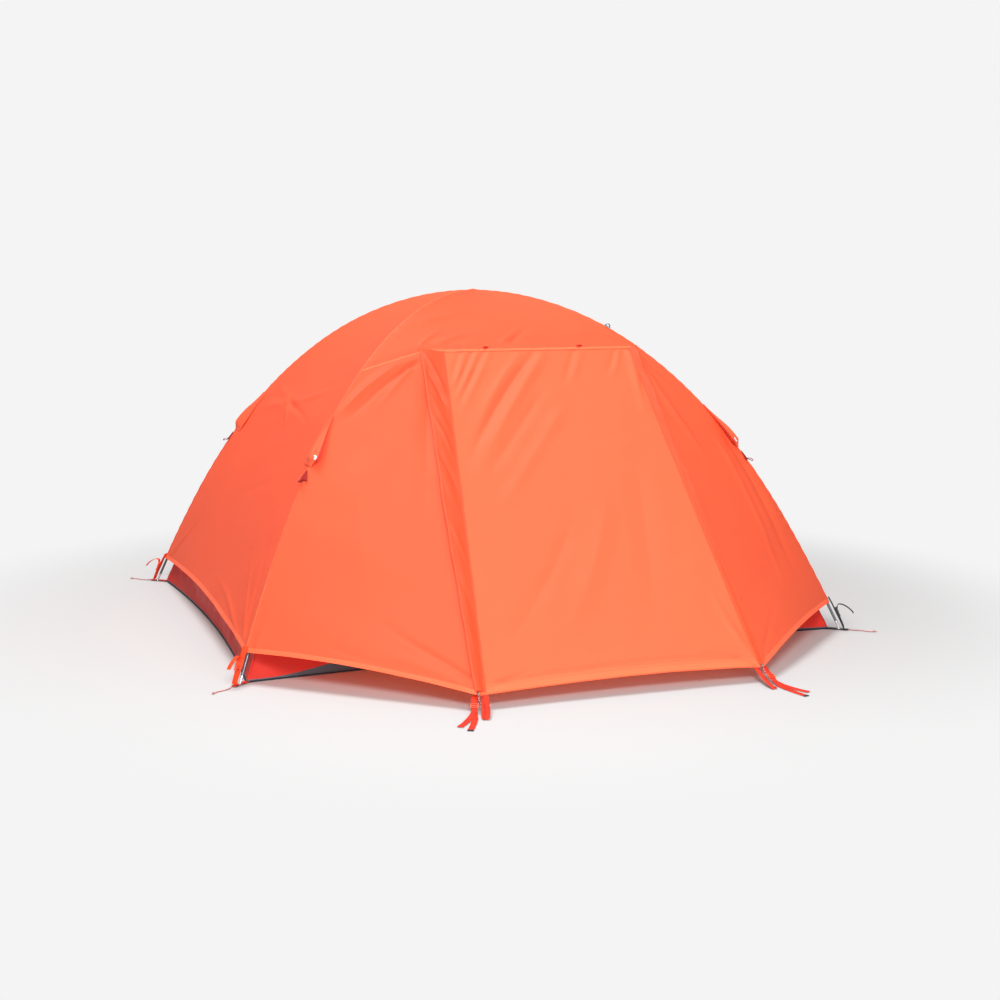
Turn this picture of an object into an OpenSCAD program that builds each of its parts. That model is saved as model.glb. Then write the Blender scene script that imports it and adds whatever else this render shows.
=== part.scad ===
// Free-standing dome tent: two crossing poles, an inner canopy on clips, and a fly with two
// vestibules. +X runs along the long side, the front vestibule faces -Y, the ground is z = 0.
// The rear half is the front half turned 180 degrees about Z.

/* [Footprint] */
// Distance between pole feet along X
foot_l = 2240; // [2100:10:2400]
// Distance between pole feet along Y
foot_w = 1800; // [1700:10:1900]
// How far each floor edge curves in between its corners
edge_curve = 45; // [20:1:60]
// Height of the bathtub wall
tub_h = 130; // [100:1:150]

/* [Poles] */
// Outside diameter of a pole tube
tube_d = 9; // [8.5:0.1:9.5]
// Wall thickness of a pole tube
tube_wall = 0.8; // [0.6:0.1:0.8]
// Length of the ferrule that joins two tube sections
ferrule_l = 80; // [60:1:100]

/* [Fly] */
// Thickness of a fly panel
fly_t = 2; // [1.5:0.1:2]
// How far the front hem stands out from the centre line
vestibule_y = 1420; // [1380:1:1450]
// Height of the vestibule hem corners
hem_z = 45; // [40:1:60]
// Width of the fly door at its hem
door_hem_w = 970; // [940:1:980]
// Width of the storm flap at its top
flap_w = 90; // [70:1:100]

/* [Inner canopy] */
// Thickness of an inner panel
inner_t = 1.6; // [1.2:0.1:2]
// Width of the inner door
inner_door_w = 860; // [760:10:880]
// Height of the inner door along the wall
inner_door_h = 780; // [700:10:800]

/* [Webbing] */
// Width of the webbing
web_w = 20; // [16:1:22]
// Thickness of the webbing
web_t = 1.6; // [1.4:0.1:2]
// Diameter of the stake-out cords
cord_d = 3; // [2.5:0.1:3]

/* [Hidden] */
$fn = 48;

ORANGE = "#f0653e";
DEEP_ORANGE = "#d9502e";
RED = "#c8321f";
DARK = "#2f3742";
GREY = "#6a6e73";
SILVER = "#b9bcc0";

// ---- The pole arch: nine equal sections, each bent by a given angle, measured from the top ----

// Bend of the middle section, then of each section down to a foot, in degrees
section_bends = [24, 21, 16, 10, 5];
half_sections = len(section_bends) - 0.5;

function rad(deg) = deg * PI / 180;
function sum_to(list, k) = k < 0 ? 0 : list[k] + sum_to(list, k - 1);
function joint_at(k) = k + 0.5;

// Downward slope of the arch, u sections away from its top
function slope_at(u) =
    u <= 0.5 ? section_bends[0] * u
    : let (k = min(len(section_bends) - 2, floor(u - 0.5)))
      sum_to(section_bends, k) - section_bends[0] / 2 + section_bends[k + 1] * (u - joint_at(k));

// Step along one circular arc of length u from slope h0 to slope h1
function arc_step(u, h0, h1) =
    let (r = u / rad(h1 - h0)) [r * (sin(h1) - sin(h0)), r * (cos(h1) - cos(h0))];

// Place on the arch, u sections from its top, in section lengths: distance out and height
function arch_at(u) =
    u <= 0 ? [0, 0]
    : u <= 0.5 ? arc_step(u, 0, slope_at(u))
    : let (k = min(len(section_bends) - 2, ceil(u - 0.5) - 1))
      arch_at(joint_at(k)) + arc_step(u - joint_at(k), slope_at(joint_at(k)), slope_at(u));

half_diagonal = norm([foot_l, foot_w]) / 2;
diagonal_angle = atan2(foot_w, foot_l);
section_l = half_diagonal / arch_at(half_sections).x;
peak_h = -arch_at(half_sections).y * section_l;
pole_half_l = half_sections * section_l;

// The fly's ridge lies on the arch. The two poles lie under it, one tube below the other.
upper_pole_drop = 8;
lower_pole_drop = upper_pole_drop + tube_d + 1;
inner_drop = lower_pole_drop + 32;

// Point of the ridge line, d along the arch from the top and off outside it: distance out, height
function ridge_2d(d, off = 0) =
    let (h = slope_at(d / section_l))
    arch_at(d / section_l) * section_l + [0, peak_h] + off * [sin(h), cos(h)];

// The same point in space, towards the corner with signs sx and sy
function ridge(sx, sy, d, off = 0) =
    let (p = ridge_2d(d, off))
    [sx * p.x * cos(diagonal_angle), sy * p.x * sin(diagonal_angle), p.y];

function mix(a, b, f) = a * (1 - f) + b * f;
function unit(v) = v / norm(v);
function steps(n) = [for (i = [0 : n]) i / n];
function bulge(f) = 4 * f * (1 - f);

crease_d = 1.56 * section_l;
vent_d = 2.37 * section_l;
hem_d = pole_half_l - 112;
seam_gap = 2;

// ---- A thin closed panel around a grid of points ----

function grid_normal(g, r, c) =
    let (
        rows = len(g) - 1,
        cols = len(g[0]) - 1,
        across = g[r][min(c + 1, cols)] - g[r][max(c - 1, 0)],
        down = g[min(r + 1, rows)][c] - g[max(r - 1, 0)][c]
    )
    unit(cross(across, down));

module panel(g, t) {
    rows = len(g) - 1;
    cols = len(g[0]) - 1;
    count = (rows + 1) * (cols + 1);
    half = [for (r = [0 : rows]) for (c = [0 : cols]) t / 2 * grid_normal(g, r, c)];
    mid = [for (row = g) for (p = row) p];
    function at(r, c) = r * (cols + 1) + c;
    // Each edge strip runs from one face to the other
    function strip(a, b) = [[a, b, b + count], [a, b + count, a + count]];
    faces = [
        for (r = [0 : rows - 1]) for (c = [0 : cols - 1]) each [
            [at(r, c), at(r + 1, c), at(r + 1, c + 1)],
            [at(r, c), at(r + 1, c + 1), at(r, c + 1)],
            [count + at(r, c), count + at(r + 1, c + 1), count + at(r + 1, c)],
            [count + at(r, c), count + at(r, c + 1), count + at(r + 1, c + 1)]
        ],
        for (c = [0 : cols - 1]) each strip(at(0, c), at(0, c + 1)),
        for (c = [0 : cols - 1]) each strip(at(rows, c + 1), at(rows, c)),
        for (r = [0 : rows - 1]) each strip(at(r + 1, 0), at(r, 0)),
        for (r = [0 : rows - 1]) each strip(at(r, cols), at(r + 1, cols))
    ];
    polyhedron(concat(mid + half, mid - half), faces);
}

// Panel stretched between two lists of edge points, kept seam_gap inside both
function stretched(left, right, cols) = [
    for (r = [0 : len(left) - 1])
        let (inset = seam_gap / norm(right[r] - left[r]))
        [for (f = steps(cols)) mix(left[r], right[r], mix(inset, 1 - inset, f))]
];

// Pull the middle of each column towards the straight line between its two ends
function tautened(g, pull) =
    let (last = len(g) - 1, cols = len(g[0]) - 1)
    [for (r = [0 : last]) [for (c = [0 : cols])
        mix(g[r][c], mix(g[0][c], g[last][c], r / last), pull * min(1, bulge(c / cols) * 2))]];

// Turns the front half's pieces into the rear half's
module at_rear() {
    rotate([0, 0, 180]) children();
}

// ---- Poles ----

// A stretch of the arch between d0 and d1, both on the same side of the top, as an exact arc
module arch_arc(d0, d1, drop, r_out, r_in = 0) {
    a = ridge_2d(d0, -drop);
    b = ridge_2d(d1, -drop);
    bend = slope_at(d1 / section_l) - slope_at(d0 / section_l);
    radius = norm(b - a) / (2 * sin(bend / 2));
    down = slope_at(d0 / section_l) + bend / 2;
    centre = (a + b) / 2 - radius * cos(bend / 2) * [sin(down), cos(down)];
    rotate([90, 0, 0])
        translate([centre.x, centre.y, 0])
            rotate([0, 0, atan2(b.y - centre.y, b.x - centre.x)])
                rotate_extrude(angle = bend)
                    translate([radius, 0])
                        difference() {
                            circle(r_out, $fn = 24);
                            if (r_in > 0) circle(r_in, $fn = 24);
                        }
}

// Turns a piece drawn along +X to each of a pole's two feet
module both_ways(turn) {
    for (half_turn = [0, 180])
        rotate([0, 0, turn + half_turn]) children();
}

upper_turn = 180 - diagonal_angle;
lower_turn = diagonal_angle;
tube_end_d = pole_half_l - 40;
section_gap = 0.2;

module pole_tubes(turn, drop) {
    r = tube_d / 2;
    both_ways(turn) {
        arch_arc(0, section_l / 2 - section_gap, drop, r, r - tube_wall);
        for (k = [0 : len(section_bends) - 2])
            arch_arc(
                joint_at(k) * section_l + section_gap,
                min(tube_end_d, joint_at(k + 1) * section_l - section_gap),
                drop, r, r - tube_wall
            );
    }
}

module lower_pole() {
    color(SILVER) pole_tubes(lower_turn, lower_pole_drop);
}

module upper_pole() {
    color(SILVER) pole_tubes(upper_turn, upper_pole_drop);
}

ferrule_r = tube_d / 2 - tube_wall - 0.2;

module ferrule_row(turn, drop) {
    both_ways(turn)
        for (k = [0 : len(section_bends) - 2])
            arch_arc(
                joint_at(k) * section_l - ferrule_l / 2,
                joint_at(k) * section_l + ferrule_l / 2,
                drop, ferrule_r, ferrule_r - 1
            );
}

module pole_ferrules() {
    color(GREY) {
        ferrule_row(lower_turn, lower_pole_drop);
        ferrule_row(upper_turn, upper_pole_drop);
    }
}

// Frame at the lower end of a tube, with +Z along the tube towards the ground
module at_tube_end(drop) {
    p = ridge_2d(tube_end_d, -drop);
    h = slope_at(tube_end_d / section_l);
    translate([p.x, 0, p.y]) rotate([0, 90 + h, 0]) children();
}

function tip_l(drop) = ridge_2d(tube_end_d, -drop).y / sin(slope_at(tube_end_d / section_l)) - 3;
tip_pin_r = 3;
tip_plug_l = 25;

module foot_tips(turn, drop) {
    both_ways(turn)
        at_tube_end(drop) {
            translate([0, 0, -tip_plug_l]) cylinder(tip_plug_l + 1, r = ferrule_r - 0.3);
            translate([0, 0, 0.3]) cylinder(10, r = tube_d / 2);
            cylinder(tip_l(drop), r = tip_pin_r);
        }
}

module pole_tips() {
    color(GREY) {
        foot_tips(lower_turn, lower_pole_drop);
        foot_tips(upper_turn, upper_pole_drop);
    }
}

shock_cord_r = 1.2;
shock_cord_steps = 24;

// One elastic cord from tip to tip, on the centre line of the tubes
module shock_cord_run(turn, drop) {
    reach = tube_end_d - tip_plug_l - 2;
    rotate([0, 0, turn])
        tube(
            [
                for (i = [-shock_cord_steps : shock_cord_steps])
                    let (p = ridge_2d(reach * abs(i) / shock_cord_steps, -drop))
                    [sign(i) * p.x, 0, p.y]
            ],
            shock_cord_r, 6
        );
}

module shock_cords() {
    color("black") {
        shock_cord_run(lower_turn, lower_pole_drop);
        shock_cord_run(upper_turn, upper_pole_drop);
    }
}

// Clip that carries the canopy's top: a round plate under the crossing, four posts between the
// poles, and a cord down to the canopy
module crossing_clip() {
    plate_top = peak_h - lower_pole_drop - tube_d / 2 - 0.5;
    plate_t = 4;
    color(DARK) {
        translate([0, 0, plate_top - plate_t]) cylinder(plate_t, r = 19);
        for (turn = [0 : 90 : 270])
            rotate([0, 0, turn])
                translate([14, 0, plate_top - 1]) cylinder(17, r = 3);
        translate([0, 0, peak_h - inner_drop + 4])
            cylinder(inner_drop - 4 - (peak_h - plate_top) - plate_t + 1, r = 2);
    }
}

clip_places = [0.55, 1.2, 1.85, 2.5, 3.1, 3.7];
clip_wrap = 200;
clip_wall = 1.4;
clip_l = 14;

// Open ring that snaps on the pole from below, with a strap down to the inner canopy
module pole_clip(d, drop) {
    p = ridge_2d(d, -drop);
    strap_l = inner_drop - drop - tube_d / 2 - 2;
    translate([p.x, 0, p.y])
        rotate([0, slope_at(d / section_l), 0]) {
            rotate([0, 90, 0])
                rotate([0, 0, -clip_wrap / 2])
                    rotate_extrude(angle = clip_wrap)
                        translate([tube_d / 2 + 0.3, -clip_l / 2])
                            square([clip_wall, clip_l]);
            translate([-6, -1, -inner_drop + drop + inner_t / 2 + 0.4])
                cube([12, 2, strap_l - inner_t / 2 - 0.2]);
        }
}

module pole_clips() {
    color(DARK)
        for (pole = [[lower_turn, lower_pole_drop], [upper_turn, upper_pole_drop]])
            both_ways(pole[0])
                for (u = clip_places)
                    pole_clip(u * section_l, pole[1]);
}

// ---- Floor corners ----

floor_t = 3;
grommet_z = floor_t + web_t / 2;
grommet_r = 6;
tab_back = 75;
tab_front = 32;

// How far out the pin of a pole crosses the height of the grommet
function pin_out(drop) =
    let (p = ridge_2d(tube_end_d, -drop), h = slope_at(tube_end_d / section_l))
    p.x + (p.y - grommet_z) / tan(h);

// Places a piece, drawn with +X outwards, at a floor corner's grommet
module at_corner(sx, sy) {
    drop = sx * sy > 0 ? lower_pole_drop : upper_pole_drop;
    rotate([0, 0, atan2(sy * foot_w, sx * foot_l)])
        translate([pin_out(drop), 0, 0])
            children();
}

module corner_grommets() {
    color(SILVER)
        for (sx = [-1, 1])
            for (sy = [-1, 1])
                at_corner(sx, sy)
                    translate([0, 0, grommet_z])
                        rotate_extrude()
                            translate([grommet_r, 0])
                                union() {
                                    translate([0, -web_t / 2 - 1]) square([1.2, web_t + 2]);
                                    translate([0, -web_t / 2 - 1]) square([4.5, 1]);
                                    translate([0, web_t / 2]) square([4.5, 1]);
                                }
}

module floor_tab() {
    translate([0, 0, floor_t])
        linear_extrude(web_t)
            difference() {
                translate([-tab_back, -web_w / 2]) square([tab_back + tab_front, web_w]);
                circle(grommet_r + 1.2);
            }
}

module floor_tabs_left() {
    color(RED)
        for (sy = [-1, 1])
            at_corner(-1, sy) floor_tab();
}

module floor_tabs_right() {
    color(DARK)
        for (sy = [-1, 1])
            at_corner(1, sy) floor_tab();
}

// ---- Floor and bathtub ----

floor_inset = 52;
floor_x = (half_diagonal - floor_inset) * cos(diagonal_angle);
floor_y = (half_diagonal - floor_inset) * sin(diagonal_angle);
edge_steps = 12;

// A point of the floor's long edge at y < 0, f from -1 to 1, and of its short edge at x < 0
function long_edge(f) = [f * floor_x, -floor_y + edge_curve * (1 - f * f)];
function short_edge(f) = [-floor_x + edge_curve * (1 - f * f), -f * floor_y];

module floor_sheet() {
    fs = [for (i = [0 : edge_steps - 1]) 2 * i / edge_steps - 1];
    color(DARK)
        linear_extrude(floor_t)
            polygon([
                for (f = fs) long_edge(f),
                for (f = fs) -short_edge(f),
                for (f = fs) -long_edge(f),
                for (f = fs) short_edge(f)
            ]);
}

tub_t = 3;
tub_foot_in = 6;
tub_reach = 0.95;
tub_steps = [for (f = steps(edge_steps)) mix(-tub_reach, tub_reach, f)];

// Wall between a curved foot on the floor and a straight top under the canopy
module tub_wall(foot, top) {
    panel([
        for (rise = [0, 0.5, 1])
            [for (i = [0 : len(foot) - 1])
                let (q = mix(foot[i], top[i], rise))
                [q.x, q.y, floor_t + 0.5 + rise * (tub_h - floor_t)]]
    ], tub_t);
}

module tub_front() {
    color(DEEP_ORANGE)
        tub_wall(
            [for (f = tub_steps) long_edge(f) + [0, tub_foot_in]],
            [for (f = tub_steps) [f * wall_foot.x, -wall_foot.y]]
        );
}

module tub_left() {
    color(DEEP_ORANGE)
        tub_wall(
            [for (f = tub_steps) short_edge(f) + [tub_foot_in, 0]],
            [for (f = tub_steps) [-wall_foot.x, -f * wall_foot.y]]
        );
}

module tub_rear() {
    at_rear() tub_front();
}

module tub_right() {
    at_rear() tub_left();
}

// ---- Inner canopy ----

wall_rows = 8;
wall_cols = 12;
inner_hem_d = pole_half_l - 176;

// A wall's side edge hangs along a pole, then reaches its foot on the tub
function inner_edge(sx, sy) = [
    for (f = steps(wall_rows)) ridge(sx, sy, mix(crease_d + 4, inner_hem_d, f), -inner_drop)
];

inner_top = ridge(1, 1, crease_d + 4, -inner_drop);
wall_foot = ridge(1, 1, inner_hem_d, -inner_drop);
wall_lean = atan2(inner_top.z - wall_foot.z, wall_foot.y - inner_top.y);
wall_l = norm([wall_foot.y - inner_top.y, inner_top.z - wall_foot.z]);

module wall_panel(sx1, sy1, sx2, sy2) {
    panel(
        tautened(stretched(inner_edge(sx1, sy1), inner_edge(sx2, sy2), wall_cols), 1),
        inner_t
    );
}

// Frame in the plane of the front wall: X along the wall, Y up it, origin at the middle of its foot
module in_wall_plane() {
    translate([0, -wall_foot.y, wall_foot.z]) rotate([wall_lean, 0, 0]) children();
}

door_foot = 40;
door_corner_r = 200;
zip_gap = 7;

// Outline of the inner door, grown by g on every side: square foot, round head
module door_outline(g) {
    w = inner_door_w + 2 * g;
    h = inner_door_h + 2 * g;
    r = door_corner_r + g;
    translate([-w / 2, door_foot - g]) square([w, h - r]);
    translate([-w / 2 + r, door_foot - g]) square([w - 2 * r, h]);
    for (side = [-1, 1])
        translate([side * (w / 2 - r), door_foot - g + h - r]) circle(r);
}

module inner_wall_front() {
    color("#e8896b")
        difference() {
            wall_panel(-1, -1, 1, -1);
            in_wall_plane()
                translate([0, 0, -15])
                    linear_extrude(30)
                        door_outline(zip_gap);
        }
}

module inner_wall_rear() {
    at_rear() inner_wall_front();
}

module inner_door_front() {
    color("#c9765c")
        in_wall_plane()
            translate([0, 0, -inner_t / 2])
                linear_extrude(inner_t)
                    door_outline(0);
}

module inner_door_rear() {
    at_rear() inner_door_front();
}

coil_w = 3;

// Zip coil round the door's foot, free side and head, left out along the hinge side
module inner_zip_front() {
    in_wall_plane()
        translate([0, 0, -1])
            linear_extrude(2)
                difference() {
                    door_outline(zip_gap / 2 + coil_w / 2);
                    door_outline(zip_gap / 2 - coil_w / 2);
                    translate([-inner_door_w / 2 - 20, 0])
                        square([40, door_foot + inner_door_h - door_corner_r]);
                }
}

module inner_zips() {
    color(DARK) {
        inner_zip_front();
        at_rear() inner_zip_front();
    }
}

// Slider on the free side of the inner door, with its pull hanging along the wall
module inner_slider_front() {
    color(GREY)
        in_wall_plane()
            translate([inner_door_w / 2 + zip_gap / 2, door_foot + 15, 0]) {
                translate([-4, -7, 2]) cube([8, 14, 3]);
                translate([-3, -35, 5.2]) cube([6, 34, 2]);
            }
}

module inner_slider_rear() {
    at_rear() inner_slider_front();
}

// One gore of a roof, between the ridges to two corners, from the peak down to distance d_end
module roof_gore(sx1, sy1, sx2, sy2, d_end, drop, t, pull) {
    top_d = 14;
    ds = [for (f = steps(9)) mix(top_d, d_end, f)];
    panel(
        tautened(
            stretched(
                [for (d = ds) ridge(sx1, sy1, d, -drop)],
                [for (d = ds) ridge(sx2, sy2, d, -drop)],
                8
            ),
            pull
        ),
        t
    );
}

module roof_gores(d_front, d_end, drop, t, pull) {
    for (turn = [0, 180])
        rotate([0, 0, turn]) {
            roof_gore(-1, -1, 1, -1, d_front, drop, t, pull);
            roof_gore(-1, 1, -1, -1, d_end, drop, t, pull);
        }
}

module inner_roof() {
    color("#e8896b") roof_gores(crease_d - 2, crease_d - 2, inner_drop, inner_t, 0.3);
}

module inner_end_left() {
    color("#e8896b") wall_panel(-1, 1, -1, -1);
}

module inner_end_right() {
    at_rear() inner_end_left();
}

// ---- Fly: roof, ends and vestibules ----

patch_r = 34;

module fly_roof() {
    color(ORANGE) {
        roof_gores(crease_d, vent_d, 0, fly_t, 0.35);
        // Round patch under the place where the four gores meet
        translate([0, 0, peak_h - fly_t / 2 - 2.2]) cylinder(1.2, r = patch_r);
    }
}

end_hem_lift = 34;

module fly_end_left() {
    rows = 10;
    cols = 12;
    chords = [
        for (f = steps(rows))
            [for (s = steps(cols))
                let (
                    d = mix(vent_d + 4, hem_d - end_hem_lift * bulge(s), f),
                    a = ridge(-1, 1, d),
                    b = ridge(-1, -1, d),
                    inset = seam_gap / norm(b - a)
                )
                mix(a, b, mix(inset, 1 - inset, s))]
    ];
    color(DEEP_ORANGE) panel(tautened(chords, 0.6), fly_t);
}

module fly_end_right() {
    at_rear() fly_end_left();
}

crease = ridge(1, 1, crease_d);
door_top_l = -310;
door_top_r = crease.x - 24;
door_hem_x = door_hem_w / 2;
door_top_y = -crease.y - 6;
door_fall = crease.z - hem_z;
door_run = vestibule_y + door_top_y;
door_slope = atan2(door_fall, door_run);
door_l = norm([door_fall, door_run]);

// Places a piece in the front door's plane: X across, Y up the slope, Z outwards, origin at the hinge
module in_door_plane() {
    translate([0, door_top_y, crease.z]) rotate([door_slope, 0, 0]) children();
}

// A point of that plane in space
function door_point(x, up, out = 0) = [
    x,
    door_top_y + up * cos(door_slope) - out * sin(door_slope),
    crease.z + up * sin(door_slope) + out * cos(door_slope)
];

// Where a zip line crosses a level f of the way down, on the left (side -1) or right (side 1)
function zip_x(side, f) =
    side < 0 ? mix(door_top_l, -door_hem_x, f) : mix(door_top_r, door_hem_x, f);

wing_rows = 10;

// Vestibule side between a pole ridge and a zip line, from the crease down to the hem
module vestibule_wing(side) {
    ridge_edge = [
        for (f = steps(wing_rows))
            ridge(side, -1, mix(crease_d + 4, hem_d, f)) - [0, 3, 0] * (1 - f)
    ];
    zip_edge = [
        for (f = steps(wing_rows))
            door_point(zip_x(side, f) + side * (zip_gap - seam_gap), -mix(3, door_l, f))
    ];
    if (side < 0) panel(stretched(ridge_edge, zip_edge, 7), fly_t);
    else panel(stretched(zip_edge, ridge_edge, 7), fly_t);
}

module fly_wing_front_left() {
    color(ORANGE) vestibule_wing(-1);
}

module fly_wing_front_right() {
    color(ORANGE) vestibule_wing(1);
}

module fly_wing_rear_right() {
    at_rear() fly_wing_front_left();
}

module fly_wing_rear_left() {
    at_rear() fly_wing_front_right();
}

module fly_door_front() {
    color(ORANGE)
        in_door_plane()
            translate([0, 0, -fly_t / 2])
                linear_extrude(fly_t)
                    polygon([
                        [zip_x(-1, 0) + zip_gap, -3],
                        [zip_x(1, 0) - zip_gap, -3],
                        [zip_x(1, 1) - zip_gap, -door_l],
                        [zip_x(-1, 1) + zip_gap, -door_l]
                    ]);
}

module fly_door_rear() {
    at_rear() fly_door_front();
}

flap_out = 8;

// Flap sewn to the door, standing over a zip and tapering to the hem
module storm_flap(side, w) {
    reach = 16;
    in_door_plane()
        translate([0, 0, flap_out])
            linear_extrude(fly_t)
                polygon([
                    [zip_x(side, 0) + side * reach / 2, -30],
                    [zip_x(side, 0) - side * w, -30],
                    [zip_x(side, 1) - side * w * 0.45, -door_l + 12],
                    [zip_x(side, 1) + side * reach, -door_l + 12]
                ]);
}

// Seam that holds a flap to the door, along the flap's inner edge
module flap_seam(side, w) {
    in_door_plane()
        translate([0, 0, fly_t / 2])
            linear_extrude(flap_out - fly_t / 2)
                polygon([
                    [zip_x(side, 0) - side * (w - 4), -34],
                    [zip_x(side, 0) - side * w, -34],
                    [zip_x(side, 1) - side * w * 0.45, -door_l + 14],
                    [zip_x(side, 1) - side * (w * 0.45 - 4), -door_l + 14]
                ]);
}

module storm_flaps_front() {
    color(ORANGE) {
        storm_flap(-1, flap_w);
        flap_seam(-1, flap_w);
        storm_flap(1, flap_w / 4);
        flap_seam(1, flap_w / 4);
    }
}

module storm_flaps_rear() {
    at_rear() storm_flaps_front();
}

// Angle between a zip line and the fall line of the door
function zip_tilt(side) = atan2(zip_x(side, 1) - zip_x(side, 0), door_l);
function zip_l(side) = norm([zip_x(side, 1) - zip_x(side, 0), door_l]);

// Places a piece on a zip line: origin at its top end, -Y down the zip
module on_zip(side) {
    in_door_plane()
        translate([zip_x(side, 0), 0, 0])
            rotate([0, 0, zip_tilt(side)])
                children();
}

module zip_coils_front() {
    for (side = [-1, 1])
        on_zip(side)
            translate([-coil_w / 2, -zip_l(side) + 4, -1])
                cube([coil_w, zip_l(side) - 12, 2]);
}

module fly_zips() {
    color(DARK) {
        zip_coils_front();
        at_rear() zip_coils_front();
    }
}

slider_rest = 20;
pull_cord_l = 20;

// Slider that straddles a coil, with a pull and cord lying down the slope
module fly_slider(side) {
    color(GREY)
        on_zip(side)
            translate([0, slider_rest - zip_l(side), 0]) {
                difference() {
                    translate([-4.5, -8, -3]) cube([9, 16, 6]);
                    translate([-2, -10, -1.6]) cube([4, 20, 3.2]);
                }
                translate([-3, -22, 3]) cube([6, 20, 2]);
                translate([0, -22, 4]) rotate([90, 0, 0]) cylinder(pull_cord_l, r = 1.5);
            }
}

module fly_slider_front_left() {
    fly_slider(-1);
}

module fly_slider_front_right() {
    fly_slider(1);
}

module fly_slider_rear_right() {
    at_rear() fly_slider(-1);
}

module fly_slider_rear_left() {
    at_rear() fly_slider(1);
}

// ---- Vents, tabs and toggles ----

hood_l = 150;
hood_low = 4;
hood_high = 24;
hood_over = 34;
hood_root = 46;
vent_corners = [[-1, -1], [1, -1], [-1, 1], [1, 1]];

// Hood: a flap rooted on the end panel, folded over the ridge, its free edge standing out
module vent_hood(c) {
    to_wing = unit([-0.8 * c.x, 0.5 * c.y, -0.3]);
    to_end = [0, -c.y, 0];
    panel([
        for (f = steps(5))
            let (d = vent_d + hood_l * f, lift = mix(hood_low, hood_high, f))
            [
                ridge(c.x, c.y, d, lift) + to_wing * (6 + hood_over * f),
                ridge(c.x, c.y, d, lift) + to_wing * (3 + hood_over * f / 2),
                ridge(c.x, c.y, d, lift),
                ridge(c.x, c.y, d, mix(hood_low, lift, 0.6)) + to_end * hood_root / 2,
                ridge(c.x, c.y, d, hood_low) + to_end * hood_root
            ]
    ], fly_t);
}

function corner_turn(c) = atan2(c.y * foot_w, c.x * foot_l);

module vent_hoods() {
    color(DEEP_ORANGE)
        for (c = vent_corners)
            vent_hood(c);
}

strut_l = 11.5;
strut_d = vent_d + hood_l - 12;
strut_off = 5;

// Strut that stands on the ridge and props the hood's lower edge
module vent_strut(c) {
    p = ridge_2d(strut_d, strut_off);
    color("white")
        rotate([0, 0, corner_turn(c)])
            translate([p.x, 0, p.y])
                rotate([0, slope_at(strut_d / section_l), 0]) {
                    rotate([90, 0, 0]) cylinder(10, r = 2.5, center = true);
                    translate([-1.2, -4, 0]) cube([2.4, 8, strut_l]);
                }
}

module vent_strut_front_left() {
    vent_strut([-1, -1]);
}

module vent_strut_front_right() {
    vent_strut([1, -1]);
}

module vent_strut_rear_left() {
    vent_strut([-1, 1]);
}

module vent_strut_rear_right() {
    vent_strut([1, 1]);
}

guy_d = 2.85 * section_l;

// Sewn triangle with a loop, on the ridge half way down
module guy_tab(c) {
    p = ridge_2d(guy_d, 3);
    h = slope_at(guy_d / section_l);
    rotate([0, 0, corner_turn(c)])
        translate([p.x, 0, p.y])
            rotate([0, h, 0]) {
                linear_extrude(1.2) polygon([[-26, 0], [16, -18], [16, 18]]);
                translate([0, 8, 1.2]) rotate([90, 0, 0])
                    rotate_extrude(angle = 180)
                        translate([8, 2]) square([1.6, 12]);
            }
}

ridge_loop_d = 1.25 * section_l;

// Short loop of webbing bar-tacked over a right-hand ridge, beside a door's top corner
module ridge_loop(c) {
    p = ridge_2d(ridge_loop_d, 3);
    h = slope_at(ridge_loop_d / section_l);
    rotate([0, 0, corner_turn(c)])
        translate([p.x, 0, p.y])
            rotate([0, h, 0]) {
                translate([-12, -6, 0]) cube([24, 12, 1.2]);
                translate([0, 6, 1.2]) rotate([90, 0, 0])
                    rotate_extrude(angle = 180)
                        translate([7, 0]) square([1.6, 12]);
            }
}

module guy_tabs() {
    color(RED)
        for (c = vent_corners)
            guy_tab(c);
    color(DARK)
        for (sy = [-1, 1])
            ridge_loop([1, sy]);
}

toggle_gap = 183;

// Toggles that hold the rolled-up door, on short loops above the hinge seam
module toggle_pair() {
    middle = (door_top_l + door_top_r) / 2;
    for (side = [-1, 1])
        translate([middle + side * toggle_gap, door_top_y, crease.z]) {
            translate([-5, 1, 4.2]) cube([10, 7, 1.6]);
            translate([-12, 4, 8.6]) rotate([0, 90, 0]) cylinder(24, r = 2.6);
        }
}

module roll_up_toggles() {
    color(RED) {
        toggle_pair();
        at_rear() toggle_pair();
    }
}

// ---- Fly corners ----

strap_off = 6;
strap_top_d = hem_d - 20;
strap_end_d = pole_half_l - 5;

// Strap from the fly's corner down beside the pole foot
module corner_strap(sx, sy) {
    rotate([0, 0, corner_turn([sx, sy])]) {
        a = ridge_2d(strap_top_d, strap_off);
        h = slope_at(strap_top_d / section_l);
        translate([a.x, -web_w / 2, a.y])
            rotate([0, h, 0])
                cube([strap_end_d - strap_top_d, web_w, web_t]);
    }
}

module corner_straps_left() {
    color(ORANGE)
        for (sy = [-1, 1])
            corner_strap(-1, sy);
}

module corner_straps_right() {
    color(DARK)
        for (sy = [-1, 1])
            corner_strap(1, sy);
}

buckle_l = 38;
buckle_w = 27;

// Side-release buckle on the strap, with its two release slots
module corner_buckle(sx, sy) {
    rotate([0, 0, corner_turn([sx, sy])]) {
        a = ridge_2d(strap_top_d, strap_off);
        h = slope_at(strap_top_d / section_l);
        translate([a.x, 0, a.y])
            rotate([0, h, 0])
                translate([46, -buckle_w / 2, web_t + 0.2])
                    difference() {
                        cube([buckle_l, buckle_w, 7]);
                        for (y = [-0.1, buckle_w - 2.9])
                            translate([10, y, 1.5]) cube([14, 3, 4]);
                    }
    }
}

module corner_buckles_left() {
    color(ORANGE)
        for (sy = [-1, 1])
            corner_buckle(-1, sy);
}

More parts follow.
